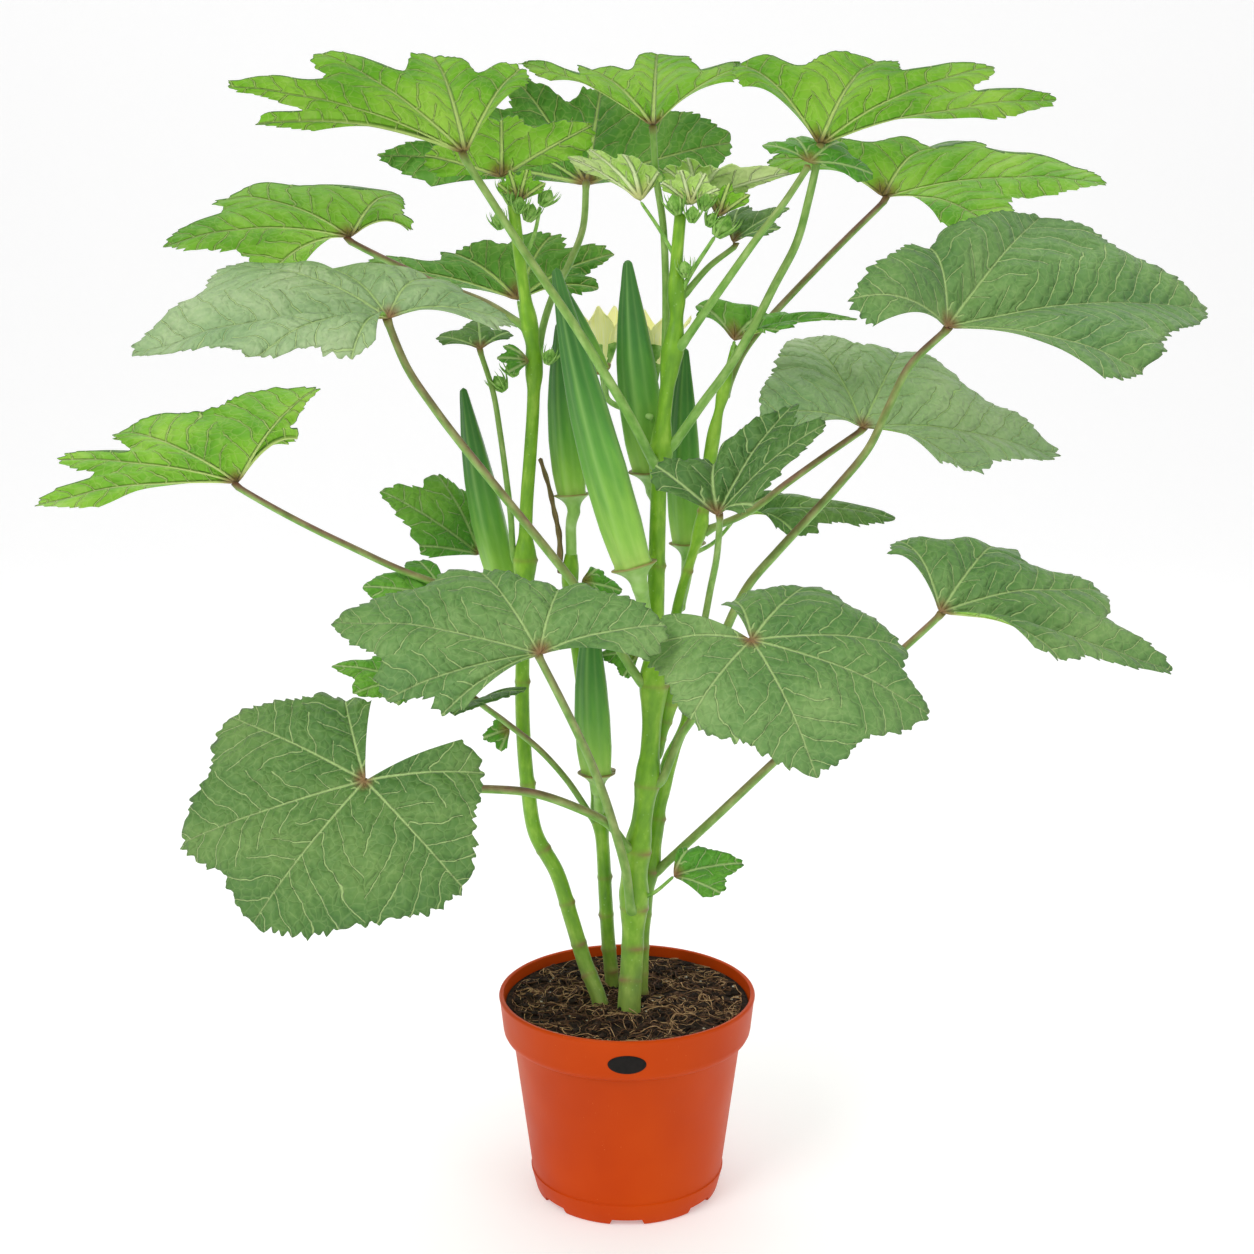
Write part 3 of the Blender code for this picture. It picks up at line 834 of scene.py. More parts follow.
def add_strands(name: str, strands: Iterable[Sequence[tuple[Sequence[float], float]]], sides: int,
                finish: Finish) -> Thing:
    """Make one piece of separate thin strands.

    Args:
        name: the piece's name.
        strands: for each, the place and the radius of its points.
        sides: how round they are, 0 being four-sided.
        finish: their finish.

    Returns:
        The piece.
    """
    curve = bpy.data.curves.new(name, "CURVE")
    curve.dimensions = "3D"
    curve.bevel_depth = 1.0
    curve.bevel_resolution = sides
    curve.use_fill_caps = True
    for strand in strands:
        line = curve.splines.new("POLY")
        line.points.add(len(strand) - 1)
        for point, (spot, radius) in zip(line.points, strand):
            point.co = (*spot, 1.0)
            point.radius = radius
    piece = bpy.data.objects.new(name, curve)
    bpy.context.scene.collection.objects.link(piece)
    select_only(piece)
    bpy.ops.object.convert(target="MESH")
    piece = bpy.context.object
    piece.data.materials.clear()
    piece.data.materials.append(finish)
    bpy.ops.object.shade_smooth()
    return piece


@dataclass
class Limb:
    """The middle line of a stem, stalk or pod, with its radius at each point."""

    centres: Point
    radii: Point

    @classmethod
    def from_rings(cls, node: str) -> Limb:
        """Read a tube-shaped CAD node, ring by ring, from the end that comes first."""
        rings = walk_rings(node)
        centres = np.array([ring.mean(axis=0) for ring in rings])
        radii = [np.linalg.norm(ring - centre, axis=1).mean() for ring, centre in zip(rings, centres)]
        return cls(centres, np.array(radii))

    def turned(self) -> Limb:
        """The same limb from its other end."""
        return Limb(self.centres[::-1], self.radii[::-1])

    @classmethod
    def from_node(cls, node: str) -> Limb:
        """Read a tube-shaped CAD node from its thicker end.

        Args:
            node: the CAD node's name.

        Returns:
            The limb.
        """
        limb = cls.from_rings(node)
        return limb.turned() if limb.radii[1] < limb.radii[-2] else limb

    def length(self) -> float:
        """The length along the middle line."""
        return float(np.linalg.norm(np.diff(self.centres, axis=0), axis=1).sum())

    def at_height(self, height: float) -> tuple[Point, float]:
        """Cut an upright limb at a height.

        Args:
            height: the height over the ground.

        Returns:
            Its centre and radius there.
        """
        order = np.argsort(self.centres[:, 2])
        z = self.centres[order, 2]
        centre = [np.interp(height, z, self.centres[order, k]) for k in range(3)]
        return np.array(centre), float(np.interp(height, z, self.radii[order]))

    def sampled(self, count: int) -> tuple[Point, Point]:
        """Read the middle line and the radius at an even spacing.

        Args:
            count: how many places.

        Returns:
            The centres and the radii.
        """
        steps = np.linalg.norm(np.diff(self.centres, axis=0), axis=1)
        run = np.concatenate([[0], np.cumsum(steps)])
        places = np.interp(np.linspace(0, run[-1], count), run, np.arange(len(run)))
        centres = spline(self.centres, places)
        radii = np.interp(places, np.arange(len(run)), self.radii)
        return centres, radii


def merged_copy(node: str) -> bmesh.types.BMesh:
    """Copy a CAD node's mesh and join its loose triangles.

    Args:
        node: the CAD node's name.

    Returns:
        A bmesh, which the caller frees.
    """
    shape = bmesh.new()
    shape.from_mesh(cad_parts[node].data)
    bmesh.ops.remove_doubles(shape, verts=shape.verts, dist=1e-6)
    return shape


def walk_rings(node: str) -> list[Point]:
    """Read a tube from apex to apex, a ring of points at a time.

    Args:
        node: the CAD node's name.

    Returns:
        The points of each ring.
    """
    shape = merged_copy(node)
    start = max(shape.verts, key=lambda v: len(v.link_edges))
    seen = {start}
    rings = [np.array([start.co])]
    front = [start]
    while True:
        ahead = []
        for vert in front:
            for edge in vert.link_edges:
                other = edge.other_vert(vert)
                if other not in seen:
                    seen.add(other)
                    ahead.append(other)
        if not ahead:
            break
        rings.append(np.array([v.co for v in ahead]))
        front = ahead
    shape.free()
    return rings


def section_frames(centres: Point) -> tuple[Point, Point, Point]:
    """Two directions across a line at each of its points, without twist.

    Args:
        centres: the line's points.

    Returns:
        The heading and the two directions across it at each point.
    """
    heading = unit(np.gradient(centres, axis=0))
    side = np.cross(heading[0], (0.0, 1.0, 0.0))
    if np.linalg.norm(side) < 0.2:
        side = np.cross(heading[0], (1.0, 0.0, 0.0))
    sides = []
    for direction in heading:
        side = side - direction * side.dot(direction)
        side = side / np.linalg.norm(side)
        sides.append(side)
    sides = np.array(sides)
    return heading, sides, np.cross(heading, sides)


def beside(spot: Point, x: float, y: float, z: float) -> Point:
    """The place some millimetres away from another."""
    return spot + np.array([x, y, z]) * MM


def add_tube(name: str, centres: Point, girth: Callable[[Point, Point], Point],
             columns: int = 20) -> tuple[Thing, Point, Point]:
    """Wrap a sheet round a line into a closed tube, with its ends drawn to a point.

    Args:
        name: the piece's name.
        centres: the middle line.
        girth: gives the radius from the angle round it and the share of the length.
        columns: faces round it.

    Returns:
        The open sheet, laid in place, its points by row and column, and the outward directions.
    """
    angle = np.linspace(0, math.tau, columns + 1)[None, :]
    share = np.linspace(0, 1, len(centres))[:, None]
    _, side, other = section_frames(centres)
    out = (side[:, None, :] * np.cos(angle)[..., None] + other[:, None, :] * np.sin(angle)[..., None])
    reach = girth(np.broadcast_to(angle, (len(centres), columns + 1)),
                  np.broadcast_to(share, (len(centres), columns + 1)))
    points = centres[:, None, :] + out * reach[..., None]
    points[:, -1] = points[:, 0]
    sheet = add_sheet(name, columns, len(centres) - 1)
    lay_sheet(sheet, points)
    return sheet, points, out


def rounded_ends(share: Point, length: float, radius: float) -> Point:
    """A factor that draws a tube's radius in at both ends over about its own radius."""
    from_end = np.minimum(share, 1 - share) * length
    rise = np.clip(from_end / max(radius, 1e-9), 0, 1)
    return np.sqrt(np.clip(1 - (1 - rise) ** 2, 0, 1))


# ---- leaves

@dataclass
class BladeNet:
    """A leaf blade's bones: its heart, and points half way out and at the edge on each spoke."""

    heart: Point
    middle: Point
    edge: Point
    normal: Point

    @classmethod
    def from_node(cls, node: str) -> BladeNet:
        """Read a blade's CAD node.

        Args:
            node: the CAD node's name.

        Returns:
            The bones of its upper side, in order round the stalk.
        """
        shape = merged_copy(node)
        busy = sorted(shape.verts, key=lambda v: -len(v.link_edges))[:2]
        upper, lower = sorted(busy, key=lambda v: -v.co.z)
        normal = (upper.co - lower.co).normalized()
        fan = {}
        for face in upper.link_faces:
            if face.normal.dot(normal) > 0.25:
                first, second = (loop.vert for loop in face.loops if loop.vert != upper)
                if next_in(face, upper) != first:
                    first, second = second, first
                fan[first] = (second, face)
        start = (set(fan) - {pair[0] for pair in fan.values()}).pop()
        middle = [start]
        while middle[-1] in fan:
            middle.append(fan[middle[-1]][0])
        outer = [across(fan[a][1], a, b) for a, b in zip(middle, middle[1:])]
        edge = outer_ring(upper, middle, outer)
        net = cls(np.array(upper.co), np.array([v.co for v in middle]),
                  np.array([v.co for v in edge]), np.array(normal))
        shape.free()
        return net

    @classmethod
    def from_tips(cls, heart: Sequence[float], tips: Sequence[Sequence[float]],
                  sinus: float = 0.8) -> BladeNet:
        """Make the bones of a small leaf from its heart and its lobes' tips.

        Args:
            heart: where its stalk meets it.
            tips: the lobes' tips from one side of the stalk round to the other.
            sinus: how far out the blade reaches between two lobes.

        Returns:
            The bones.
        """
        centre = np.array(heart, float)
        arms = np.array(tips, float) - centre
        normal = np.cross(arms[:-1], arms[1:]).sum(axis=0)
        normal = normal / np.linalg.norm(normal) * (1 if normal[2] > 0 else -1)
        last = len(arms) - 1
        spokes = []
        for i in range((last + 1) * SPOKES_PER_LOBE + 1):
            spot = -0.5 + i / SPOKES_PER_LOBE
            first = min(max(math.floor(spot), 0), last - 1)
            t = spot - first
            heading = unit(unit(arms[first]) * (1 - t) + unit(arms[first + 1]) * t)
            lengths = np.linalg.norm(arms[first:first + 2], axis=1)
            length = lengths[0] + (lengths[1] - lengths[0]) * min(max(t, 0), 1)
            off_tip = abs(spot - round(spot)) * 2
            spokes.append(heading * length * (1 - (1 - sinus) * off_tip ** 1.5))
        spokes = np.array(spokes)
        reach = np.linalg.norm(spokes, axis=1).max()
        return cls(centre, centre + spokes * 0.5 + normal * reach * 0.08, centre + spokes, normal)

    def reach(self) -> float:
        """The longest spoke's length."""
        return float(np.linalg.norm(self.edge - self.heart, axis=1).max())

    def lobes(self) -> int:
        """How many lobes the blade has."""
        return (len(self.edge) - 1) // SPOKES_PER_LOBE

    def tip_spokes(self) -> Point:
        """The numbers of the spokes that run to the lobes' tips."""
        return FIRST_TIP + SPOKES_PER_LOBE * np.arange(self.lobes())


def next_in(face: bmesh.types.BMFace, vert: bmesh.types.BMVert) -> bmesh.types.BMVert:
    """The point that follows another round a face."""
    loop = next(loop for loop in face.loops if loop.vert == vert)
    return loop.link_loop_next.vert


def across(face: bmesh.types.BMFace, first: bmesh.types.BMVert,
           second: bmesh.types.BMVert) -> bmesh.types.BMVert:
    """Step over one edge of a triangle.

    Args:
        face: the triangle.
        first: the edge's one end.
        second: its other end.

    Returns:
        The far point of the triangle beyond the edge.
    """
    edge = next(e for e in face.edges if first in e.verts and second in e.verts)
    beyond = next(f for f in edge.link_faces if f != face)
    return next(v for v in beyond.verts if v not in (first, second))


def outer_ring(hub: bmesh.types.BMVert, middle: list[bmesh.types.BMVert],
               outer: list[bmesh.types.BMVert]) -> list[bmesh.types.BMVert]:
    """Complete the edge's points, of which across() finds all but the one at an end.

    Args:
        hub: the blade's heart.
        middle: the points half way out, in order.
        outer: the points found beyond each pair of middle points.

    Returns:
        One edge point for each middle point.
    """
    def turned(a: bmesh.types.BMVert, b: bmesh.types.BMVert) -> float:
        """The angle between two points as seen from the hub."""
        return (a.co - hub.co).angle(b.co - hub.co)

    to_second = sum(turned(v, b) < turned(v, a) for v, a, b in zip(outer, middle, middle[1:]))
    at_start = to_second > len(outer) / 2
    end, near = (middle[0], outer[0]) if at_start else (middle[-1], outer[-1])
    known = set(middle) | set(outer) | {hub}
    shared = [f for f in end.link_faces if near in f.verts]
    lost = next(v for f in shared for v in f.verts if v not in known)
    return [lost, *outer] if at_start else [*outer, lost]


class EdgeCut(Enum):
    """A blade's edge: its teeth's length and depth, and its wave's height, in millimetres."""

    FULL = (6.6, 3.6, 2.9)
    SMALL = (4.6, 2.2, 0.9)
    YOUNG = (4.5, 1.3, 0.9)


@dataclass
class Blade:
    """One leaf blade: lobed, toothed, folded at its ribs and wavy at its edge."""

    name: str
    net: BladeNet
    seed: int
    cut: EdgeCut = EdgeCut.FULL
    thickness: float = 0.45 * MM
    fold: float = 0.08
    rib_height_mm: float = 0.45
    # A tooth rises over this share of its length and falls over the rest
    tooth_peak: float = 0.62
    tooth_sizes: int = 400
    face_mm: float = 1.05
    row_mm: float = 3.6

    def outline(self, count: int) -> tuple[Point, Point, Point]:
        """Place the spokes at an even spacing along the edge.

        Args:
            count: how many faces lie along the edge.

        Returns:
            The place of each spoke counted in bones, its edge point without teeth, and the
            length along the edge to it.
        """
        dense = np.linspace(0, len(self.net.edge) - 1, 1200)
        line = spline(self.net.edge, dense)
        run = np.concatenate([[0], np.cumsum(np.linalg.norm(np.diff(line, axis=0), axis=1))])
        even = np.linspace(0, run[-1], count + 1)
        places = np.interp(even, run, dense)
        return places, spline(self.net.edge, places), even

    def teeth(self, run: Point, spokes: Point) -> Point:
        """Cut the teeth along the edge.

        Args:
            run: the length along the edge to each spoke.
            spokes: each spoke's arm from the heart.

        Returns:
            How much further out each spoke reaches, as a share of its length.
        """
        tooth, deep, _ = self.cut.value
        rng = np.random.default_rng(self.seed)
        sizes = rng.uniform(0.3, 1.2, self.tooth_sizes)
        beat = run / (tooth * MM)
        beat = beat + 0.5 * np.sin(beat * 0.7 + self.seed) + 0.25 * np.sin(beat * 1.9 + self.seed)
        number = np.floor(beat).astype(int)
        share = beat - number
        peak = self.tooth_peak
        lean = np.where(share < peak, share / peak, (1 - share) / (1 - peak))
        small = np.abs(((beat * 2.6) % 1.0) - 0.5)
        depth = (lean ** 0.85 * sizes[number % self.tooth_sizes] * deep + small * 1.2) * MM
        return (depth - 0.5 * deep * MM) / np.linalg.norm(spokes, axis=1)

    def surface(self, columns: int, rows: int) -> tuple[Point, Point, Point]:
        """Work out the blade's middle surface.

        Args:
            columns: faces along the edge.
            rows: faces from the heart to the edge.

        Returns:
            The points by row and column, the place of each column counted in bones, and the share
            of the way out of each row.
        """
        places, edge, run = self.outline(columns)
        middle = spline(self.net.middle, places)
        heart = self.net.heart
        reach = 1 + self.teeth(run, edge - heart)
        share = np.linspace(0, 1, rows + 1)
        out = share[:, None] * (1 + (reach[None, :] - 1) * share[:, None] ** 6)
        t = out[..., None]
        points = (heart * (1 - t) * (1 - 2 * t) + middle[None] * 4 * t * (1 - t)
                  + edge[None] * t * (2 * t - 1))
        size = float(np.linalg.norm(edge - heart, axis=1).max())
        off_rib = np.abs((places - FIRST_TIP + 2) % SPOKES_PER_LOBE - 2) / 2
        lift = self.fold * size * np.sin(off_rib * math.pi / 2)[None, :] * share[:, None] ** 1.2
        lift = lift * (1 - 0.5 * share[:, None])
        flat = points.reshape(-1, 3)
        ripple = waves(flat, 0.022, self.seed).reshape(lift.shape)
        broad = waves(flat, 0.05, self.seed + 50).reshape(lift.shape)
        wave = self.cut.value[2] * MM
        lift = lift + ripple * wave * share[:, None] ** 2
        lift = lift + broad * 1.6 * wave * share[:, None]
        return points + lift[..., None] * self.net.normal, places, share

    def lobe_axes(self) -> tuple[Point, Point]:
        """The direction along each lobe's rib, and the direction across it."""
        chords = self.net.edge[self.net.tip_spokes()] - self.net.heart
        normal = self.net.normal
        along = unit(chords - np.outer(chords @ normal, normal))
        return along, np.cross(normal, along)

    def lobe_of(self, places: Point) -> Point:
        """The number of the lobe that each place, counted in bones, belongs to."""
        lobes = np.round((places - FIRST_TIP) / SPOKES_PER_LOBE)
        return np.clip(lobes, 0, self.net.lobes() - 1).astype(int)

    def map_veins(self, sheet: Thing, points: Point, places: Point) -> None:
        """Write the vein map face by face, so that it breaks cleanly between two lobes.

        Args:
            sheet: the laid sheet.
            points: its points, by row and column.
            places: the place of each column, counted in bones.
        """
        along, sideways = self.lobe_axes()
        rows = points.shape[0] - 1
        arms = points.reshape(-1, 3) - self.net.heart
        corners = np.empty(len(sheet.data.loops), np.int32)
        sheet.data.loops.foreach_get("vertex_index", corners)
        owner = np.repeat(np.tile(self.lobe_of((places[:-1] + places[1:]) / 2), rows), 4)
        layer = sheet.data.uv_layers.new(name=VEIN_MAP)
        arm = arms[corners]
        uv = np.stack([(arm * along[owner]).sum(axis=1), (arm * sideways[owner]).sum(axis=1)], axis=1)
        # Each lobe's pattern starts a little further on, so that no two look alike
        uv[:, 0] += owner * 0.37 * MM
        layer.data.foreach_set("uv", (uv / MAP_UNIT).astype(np.float32).ravel())
        column_lobe = np.tile(self.lobe_of(places), rows + 1)
        write_attribute(sheet, "off_rib", np.abs((arms * sideways[column_lobe]).sum(axis=1)))
        write_attribute(sheet, "from_heart", np.linalg.norm(arms, axis=1))

    def build(self, upper: Finish, under: Finish) -> Thing:
        """Make the blade.

        Args:
            upper: the finish of its upper side.
            under: the finish of its under side.

        Returns:
            The closed, thin piece.
        """
        edge_length = np.linalg.norm(np.diff(self.net.edge, axis=0), axis=1).sum()
        quick = 1.0
        columns = int(np.clip(edge_length / (self.face_mm * MM), 60, 460) * quick)
        size = self.net.reach()
        rows = int(np.clip(size / (self.row_mm * MM), 10, 26) * quick)
        points, places, _ = self.surface(columns, rows)
        sheet = add_sheet(self.name, columns, rows)
        lay_sheet(sheet, points)
        self.map_veins(sheet, points, places)
        sheet.data.materials.append(upper)
        sheet.data.materials.append(under)
        close_up(sheet, outside=False)
        face_towards(sheet, self.net.normal)
        shown = len(sheet.data.vertices)
        apply_modifier(sheet, "SOLIDIFY", thickness=self.thickness, offset=-1.0, use_rim=True,
                       material_offset=1, material_offset_rim=0)
        self.raise_ribs(sheet, shown, size)
        return sheet

    def raise_ribs(self, sheet: Thing, shown: int, size: float) -> None:
        """Sink the ribs into the upper side and stand them out of the under side.

        Args:
            sheet: the closed blade.
            shown: how many of its points lie on the upper side.
            size: the longest spoke.
        """
        count = len(sheet.data.vertices)
        places, normals = np.empty(count * 3, np.float32), np.empty(count * 3, np.float32)
        sheet.data.vertices.foreach_get("co", places)
        sheet.data.vertices.foreach_get("normal", normals)
        off, far = np.empty(count, np.float32), np.empty(count, np.float32)
        sheet.data.attributes["off_rib"].data.foreach_get("value", off)
        sheet.data.attributes["from_heart"].data.foreach_get("value", far)
        thin = np.clip(1 - far / size, 0.15, 1)
        height = self.rib_height_mm * MM * thin * bell(off, 1.0 * MM) * np.clip(far / (4 * MM), 0, 1)
        height[:shown] *= -0.15
        moved = places.reshape(-1, 3) + normals.reshape(-1, 3) * height[:, None]
        sheet.data.vertices.foreach_set("co", moved.astype(np.float32).ravel())
        sheet.data.update()


@dataclass
class Leaves:
    """All leaf blades, each read from its CAD node and grown out in full."""

    # The pale and the bright tones paint sheen and top light onto the blades that show them
    tones: dict[str, LeafTone] = field(default_factory=lambda: {
        "leaf_low_left": LeafTone.DEEP,
        "leaf_front_left": LeafTone.BLUISH,
        "leaf_front_right": LeafTone.BLUISH,
        "leaf_low_right": LeafTone.BLUISH,
        "leaf_high_right": LeafTone.BLUISH,
        "leaf_mid_right": LeafTone.PALE,
        "leaf_folded": LeafTone.DEEP,
        "leaf_high_left": LeafTone.PALE,
        "leaf_mid_left": LeafTone.FRESH,
        "leaf_base_small": LeafTone.FRESH,
        "leaf_inner_right": LeafTone.FRESH,
    })
    # Blades whose under sides take the copy with painted shade
    shaded: tuple[str, ...] = ("leaf_top_back", "leaf_high_back", "leaf_crown_small")
    small_mm: float = 45.0
    first_seed: int = 3

    def build(self) -> None:
        """Grow a blade on each leaf node."""
        # Under sides with painted light through them: a lit copy, and a shaded copy for blades behind
        lit = LeafUnder(UnderTone.LIT).build()
        dim = LeafUnder(UnderTone.SHADED).build()
        uppers = {tone: LeafUpper(tone).build() for tone in LeafTone}
        for number, node in enumerate(LEAF_NODES):
            net = BladeNet.from_node(node)
            cut = EdgeCut.SMALL if net.reach() < self.small_mm * MM else EdgeCut.FULL
            tone = self.tones.get(node, LeafTone.DEEP)
            blade = Blade(f"okra_{node}", net, self.first_seed + number, cut)
            piece = blade.build(uppers[tone], dim if node in self.shaded else lit)
            set_in_place(piece, [node])


# ---- stems and stalks

@dataclass
class Skeleton:
    """The stems' middle lines and the blades' hearts, which the stalks grow between."""

    stems: dict[str, Point]
    hearts: Point

    @classmethod
    def from_frame(cls) -> Skeleton:
        """Read the stems and the hearts of the blades from the frame."""
        stems = {node: Limb.from_node(node).sampled(200)[0] for node in Stems.nodes}
        hearts = [BladeNet.from_node(node).heart for node in LEAF_NODES]
        return cls(stems, np.array(hearts))

    def root(self, foot: Point, drop_mm: float, own: str = "") -> Point:
        """Find where a stalk starts inside the stem that it grows on.

        Args:
            foot: the stalk's foot, beside the stem.
            drop_mm: how far below the foot it starts.
            own: a stem to leave out.

        Returns:
            A point inside the nearest stem.
        """
        lines = np.vstack([line for node, line in self.stems.items() if node != own])
        nearest = lines[np.linalg.norm(lines - foot, axis=1).argmin()]
        return foot + (nearest - foot) * 0.8 - np.array([0.0, 0.0, drop_mm * MM])


@dataclass
class Stems:
    """The upright stems and the side branch, with swollen joints and leaf scars."""

    soil_level: float
    skeleton: Skeleton
    nodes: tuple[str, ...] = ("stem_left", "stem_middle", "stem_main", "stem_right", "branch_right")
    joint_mm: float = 1.7
    scar_heights: tuple[float, ...] = (0.06, 0.1, 0.14, 0.19, 0.26, 0.34, 0.46, 0.6)

    def joints(self, limb: Limb) -> list[Point]:
        """Find where stalks start close to a stem.

        Args:
            limb: the stem.

        Returns:
            The stalks' feet.
        """
        found = []
        for node in STALK_NODES:
            foot = Limb.from_node(node).centres[0]
            near = np.linalg.norm(limb.centres - foot, axis=1).min()
            if near < 0.03:
                found.append(foot)
        return found

    def build_one(self, node: str, skin: Finish) -> None:
        """Build one stem.

        Args:
            node: its CAD node.
            skin: its finish.
        """
        limb = Limb.from_node(node)
        if node == "branch_right":
            limb.centres[0] = self.skeleton.root(limb.centres[1], 6.0, node)
            limb.radii[0] = limb.radii[1]
        length = limb.length()
        centres, radii = limb.sampled(max(int(length / (1.8 * MM)), 30))
        joints = self.joints(limb)
        scars = [centres[int(h * len(centres))] for h in self.scar_heights]
        rng = np.random.default_rng(len(node))
        turns = math.pi / 2 + rng.uniform(-2.0, 2.0, len(scars))
        mask: list[Point] = []

        def girth(angle: Point, share: Point) -> Point:
            """The radius, with joints, scars and low ridges."""
            reach = radii[:, None] * (1 + 0.018 * np.sin(5 * angle + 9 * share))
            for joint in joints:
                away = np.linalg.norm(centres - joint, axis=1)
                reach = reach + self.joint_mm * MM * bell(away - away.min(), 5 * MM)[:, None] * 0.8
            scar = np.zeros_like(reach)
            for centre, turn in zip(scars, turns):
                away = np.linalg.norm(centres - centre, axis=1)[:, None]
                spot = bell(away, 1.6 * MM) * bell(np.angle(np.exp(1j * (angle - turn))), 0.9)
                spot = np.maximum(spot, 0.35 * bell(away, 0.9 * MM))
                scar = np.maximum(scar, spot)
            mask.append(scar)
            lump = scar * 0.9 * MM
            return (reach + lump) * rounded_ends(share, length, radii.min())

        sheet, _, _ = add_tube(f"okra_{node}", centres, girth, 24)
        write_attribute(sheet, "scar", mask[0])
        stretch_map(sheet, math.tau * float(radii.mean()), length)
        hand_over(sheet, skin, [node])

    def build(self) -> None:
        """Build every stem."""
        skin = StemSkin(self.soil_level).build()
        for node in self.nodes:
            self.build_one(node, skin)


@dataclass
class Stalks:
    """The leaf stalks, from a flared foot on the stem to a knuckle under the blade."""

    skeleton: Skeleton
    flare: float = 0.5
    knuckle: float = 0.3
    green: tuple[str, ...] = ("stalk_top_centre", "stalk_top_right", "stalk_crown_right",
                              "stalk_top_left", "stalk_small_left", "stalk_top_back",
                              "stalk_crown_small")

    def line(self, limb: Limb) -> Point:
        """Lengthen a stalk's middle line into its stem and up to its blade.

        Args:
            limb: the stalk as the frame has it.

        Returns:
            The points of the longer line.
        """
        centres = limb.centres
        foot = self.skeleton.root(centres[1], 4.0)
        gaps = np.linalg.norm(self.skeleton.hearts - centres[-1], axis=1)
        last = self.skeleton.hearts[gaps.argmin()] if gaps.min() < 6 * MM else centres[-1]
        return np.vstack([foot, centres[1:-1], last])

    def build_one(self, node: str, skin: Finish) -> None:
        """Build one stalk.

        Args:
            node: its CAD node.
            skin: its finish.
        """
        frame_limb = Limb.from_node(node)
        radii = frame_limb.radii.copy()
        radii[0] = radii[1]
        radii[-1] = radii[-2]
        limb = Limb(self.line(frame_limb), radii)
        length = limb.length()
        centres, girths = limb.sampled(max(int(length / (1.6 * MM)), 24))

        def girth(angle: Point, share: Point) -> Point:
            """The radius, wider at the foot and under the blade."""
            foot = self.flare * bell(share * length, 6 * MM)
            top = self.knuckle * bell((1 - share) * length, 3.5 * MM)
            ridge = 0.03 * np.sin(4 * angle)
            end = np.sqrt(np.clip((1 - share) * length / (1.2 * MM), 0, 1))
            start = np.sqrt(np.clip(share * length / (0.8 * MM), 0, 1))
            return girths[:, None] * (1 + foot + top + ridge) * end * start

        sheet, points, out = add_tube(f"okra_{node}", centres, girth, 16)
        share = np.linspace(0, 1, len(centres))[:, None]
        upward = np.clip(out[..., 2] * 0.9 + 0.35 - 0.3 * out[..., 1], 0, 1)
        write_attribute(sheet, "flush", upward * np.clip(0.35 + share, 0, 1))
        write_attribute(sheet, "knuckle", np.broadcast_to(bell((1 - share) * length, 3 * MM),
                                                          points.shape[:2]).copy())
        stretch_map(sheet, math.tau * float(girths.mean()), length)
        hand_over(sheet, skin, [node])

    def build(self) -> None:
        """Build every leaf stalk and the dry flower stalk."""
        flushed = StalkSkin(0.95).build()
        green = StalkSkin(0.35).build()
        for node in STALK_NODES:
            if node != "dry_stalk":
                self.build_one(node, green if node in self.green else flushed)
        self.build_dry()

    def build_dry(self) -> None:
        """Build the withered flower stalk, with its broken end."""
        limb = Limb.from_node("dry_stalk")
        length = limb.length()
        centres, radii = limb.sampled(60)

        def girth(angle: Point, share: Point) -> Point:
            """The shrunken, ridged radius."""
            shrunk = 1 + 0.16 * np.sin(3 * angle + 14 * share) + 0.14 * np.sin(40 * share)
            return radii[:, None] * shrunk * rounded_ends(share, length, 1.2 * MM)

        sheet, _, _ = add_tube("okra_dry_stalk", centres, girth, 14)
        stretch_map(sheet, 0.008, length)
        hand_over(sheet, DryStalkSkin().build(), ["dry_stalk"])


# ---- pods

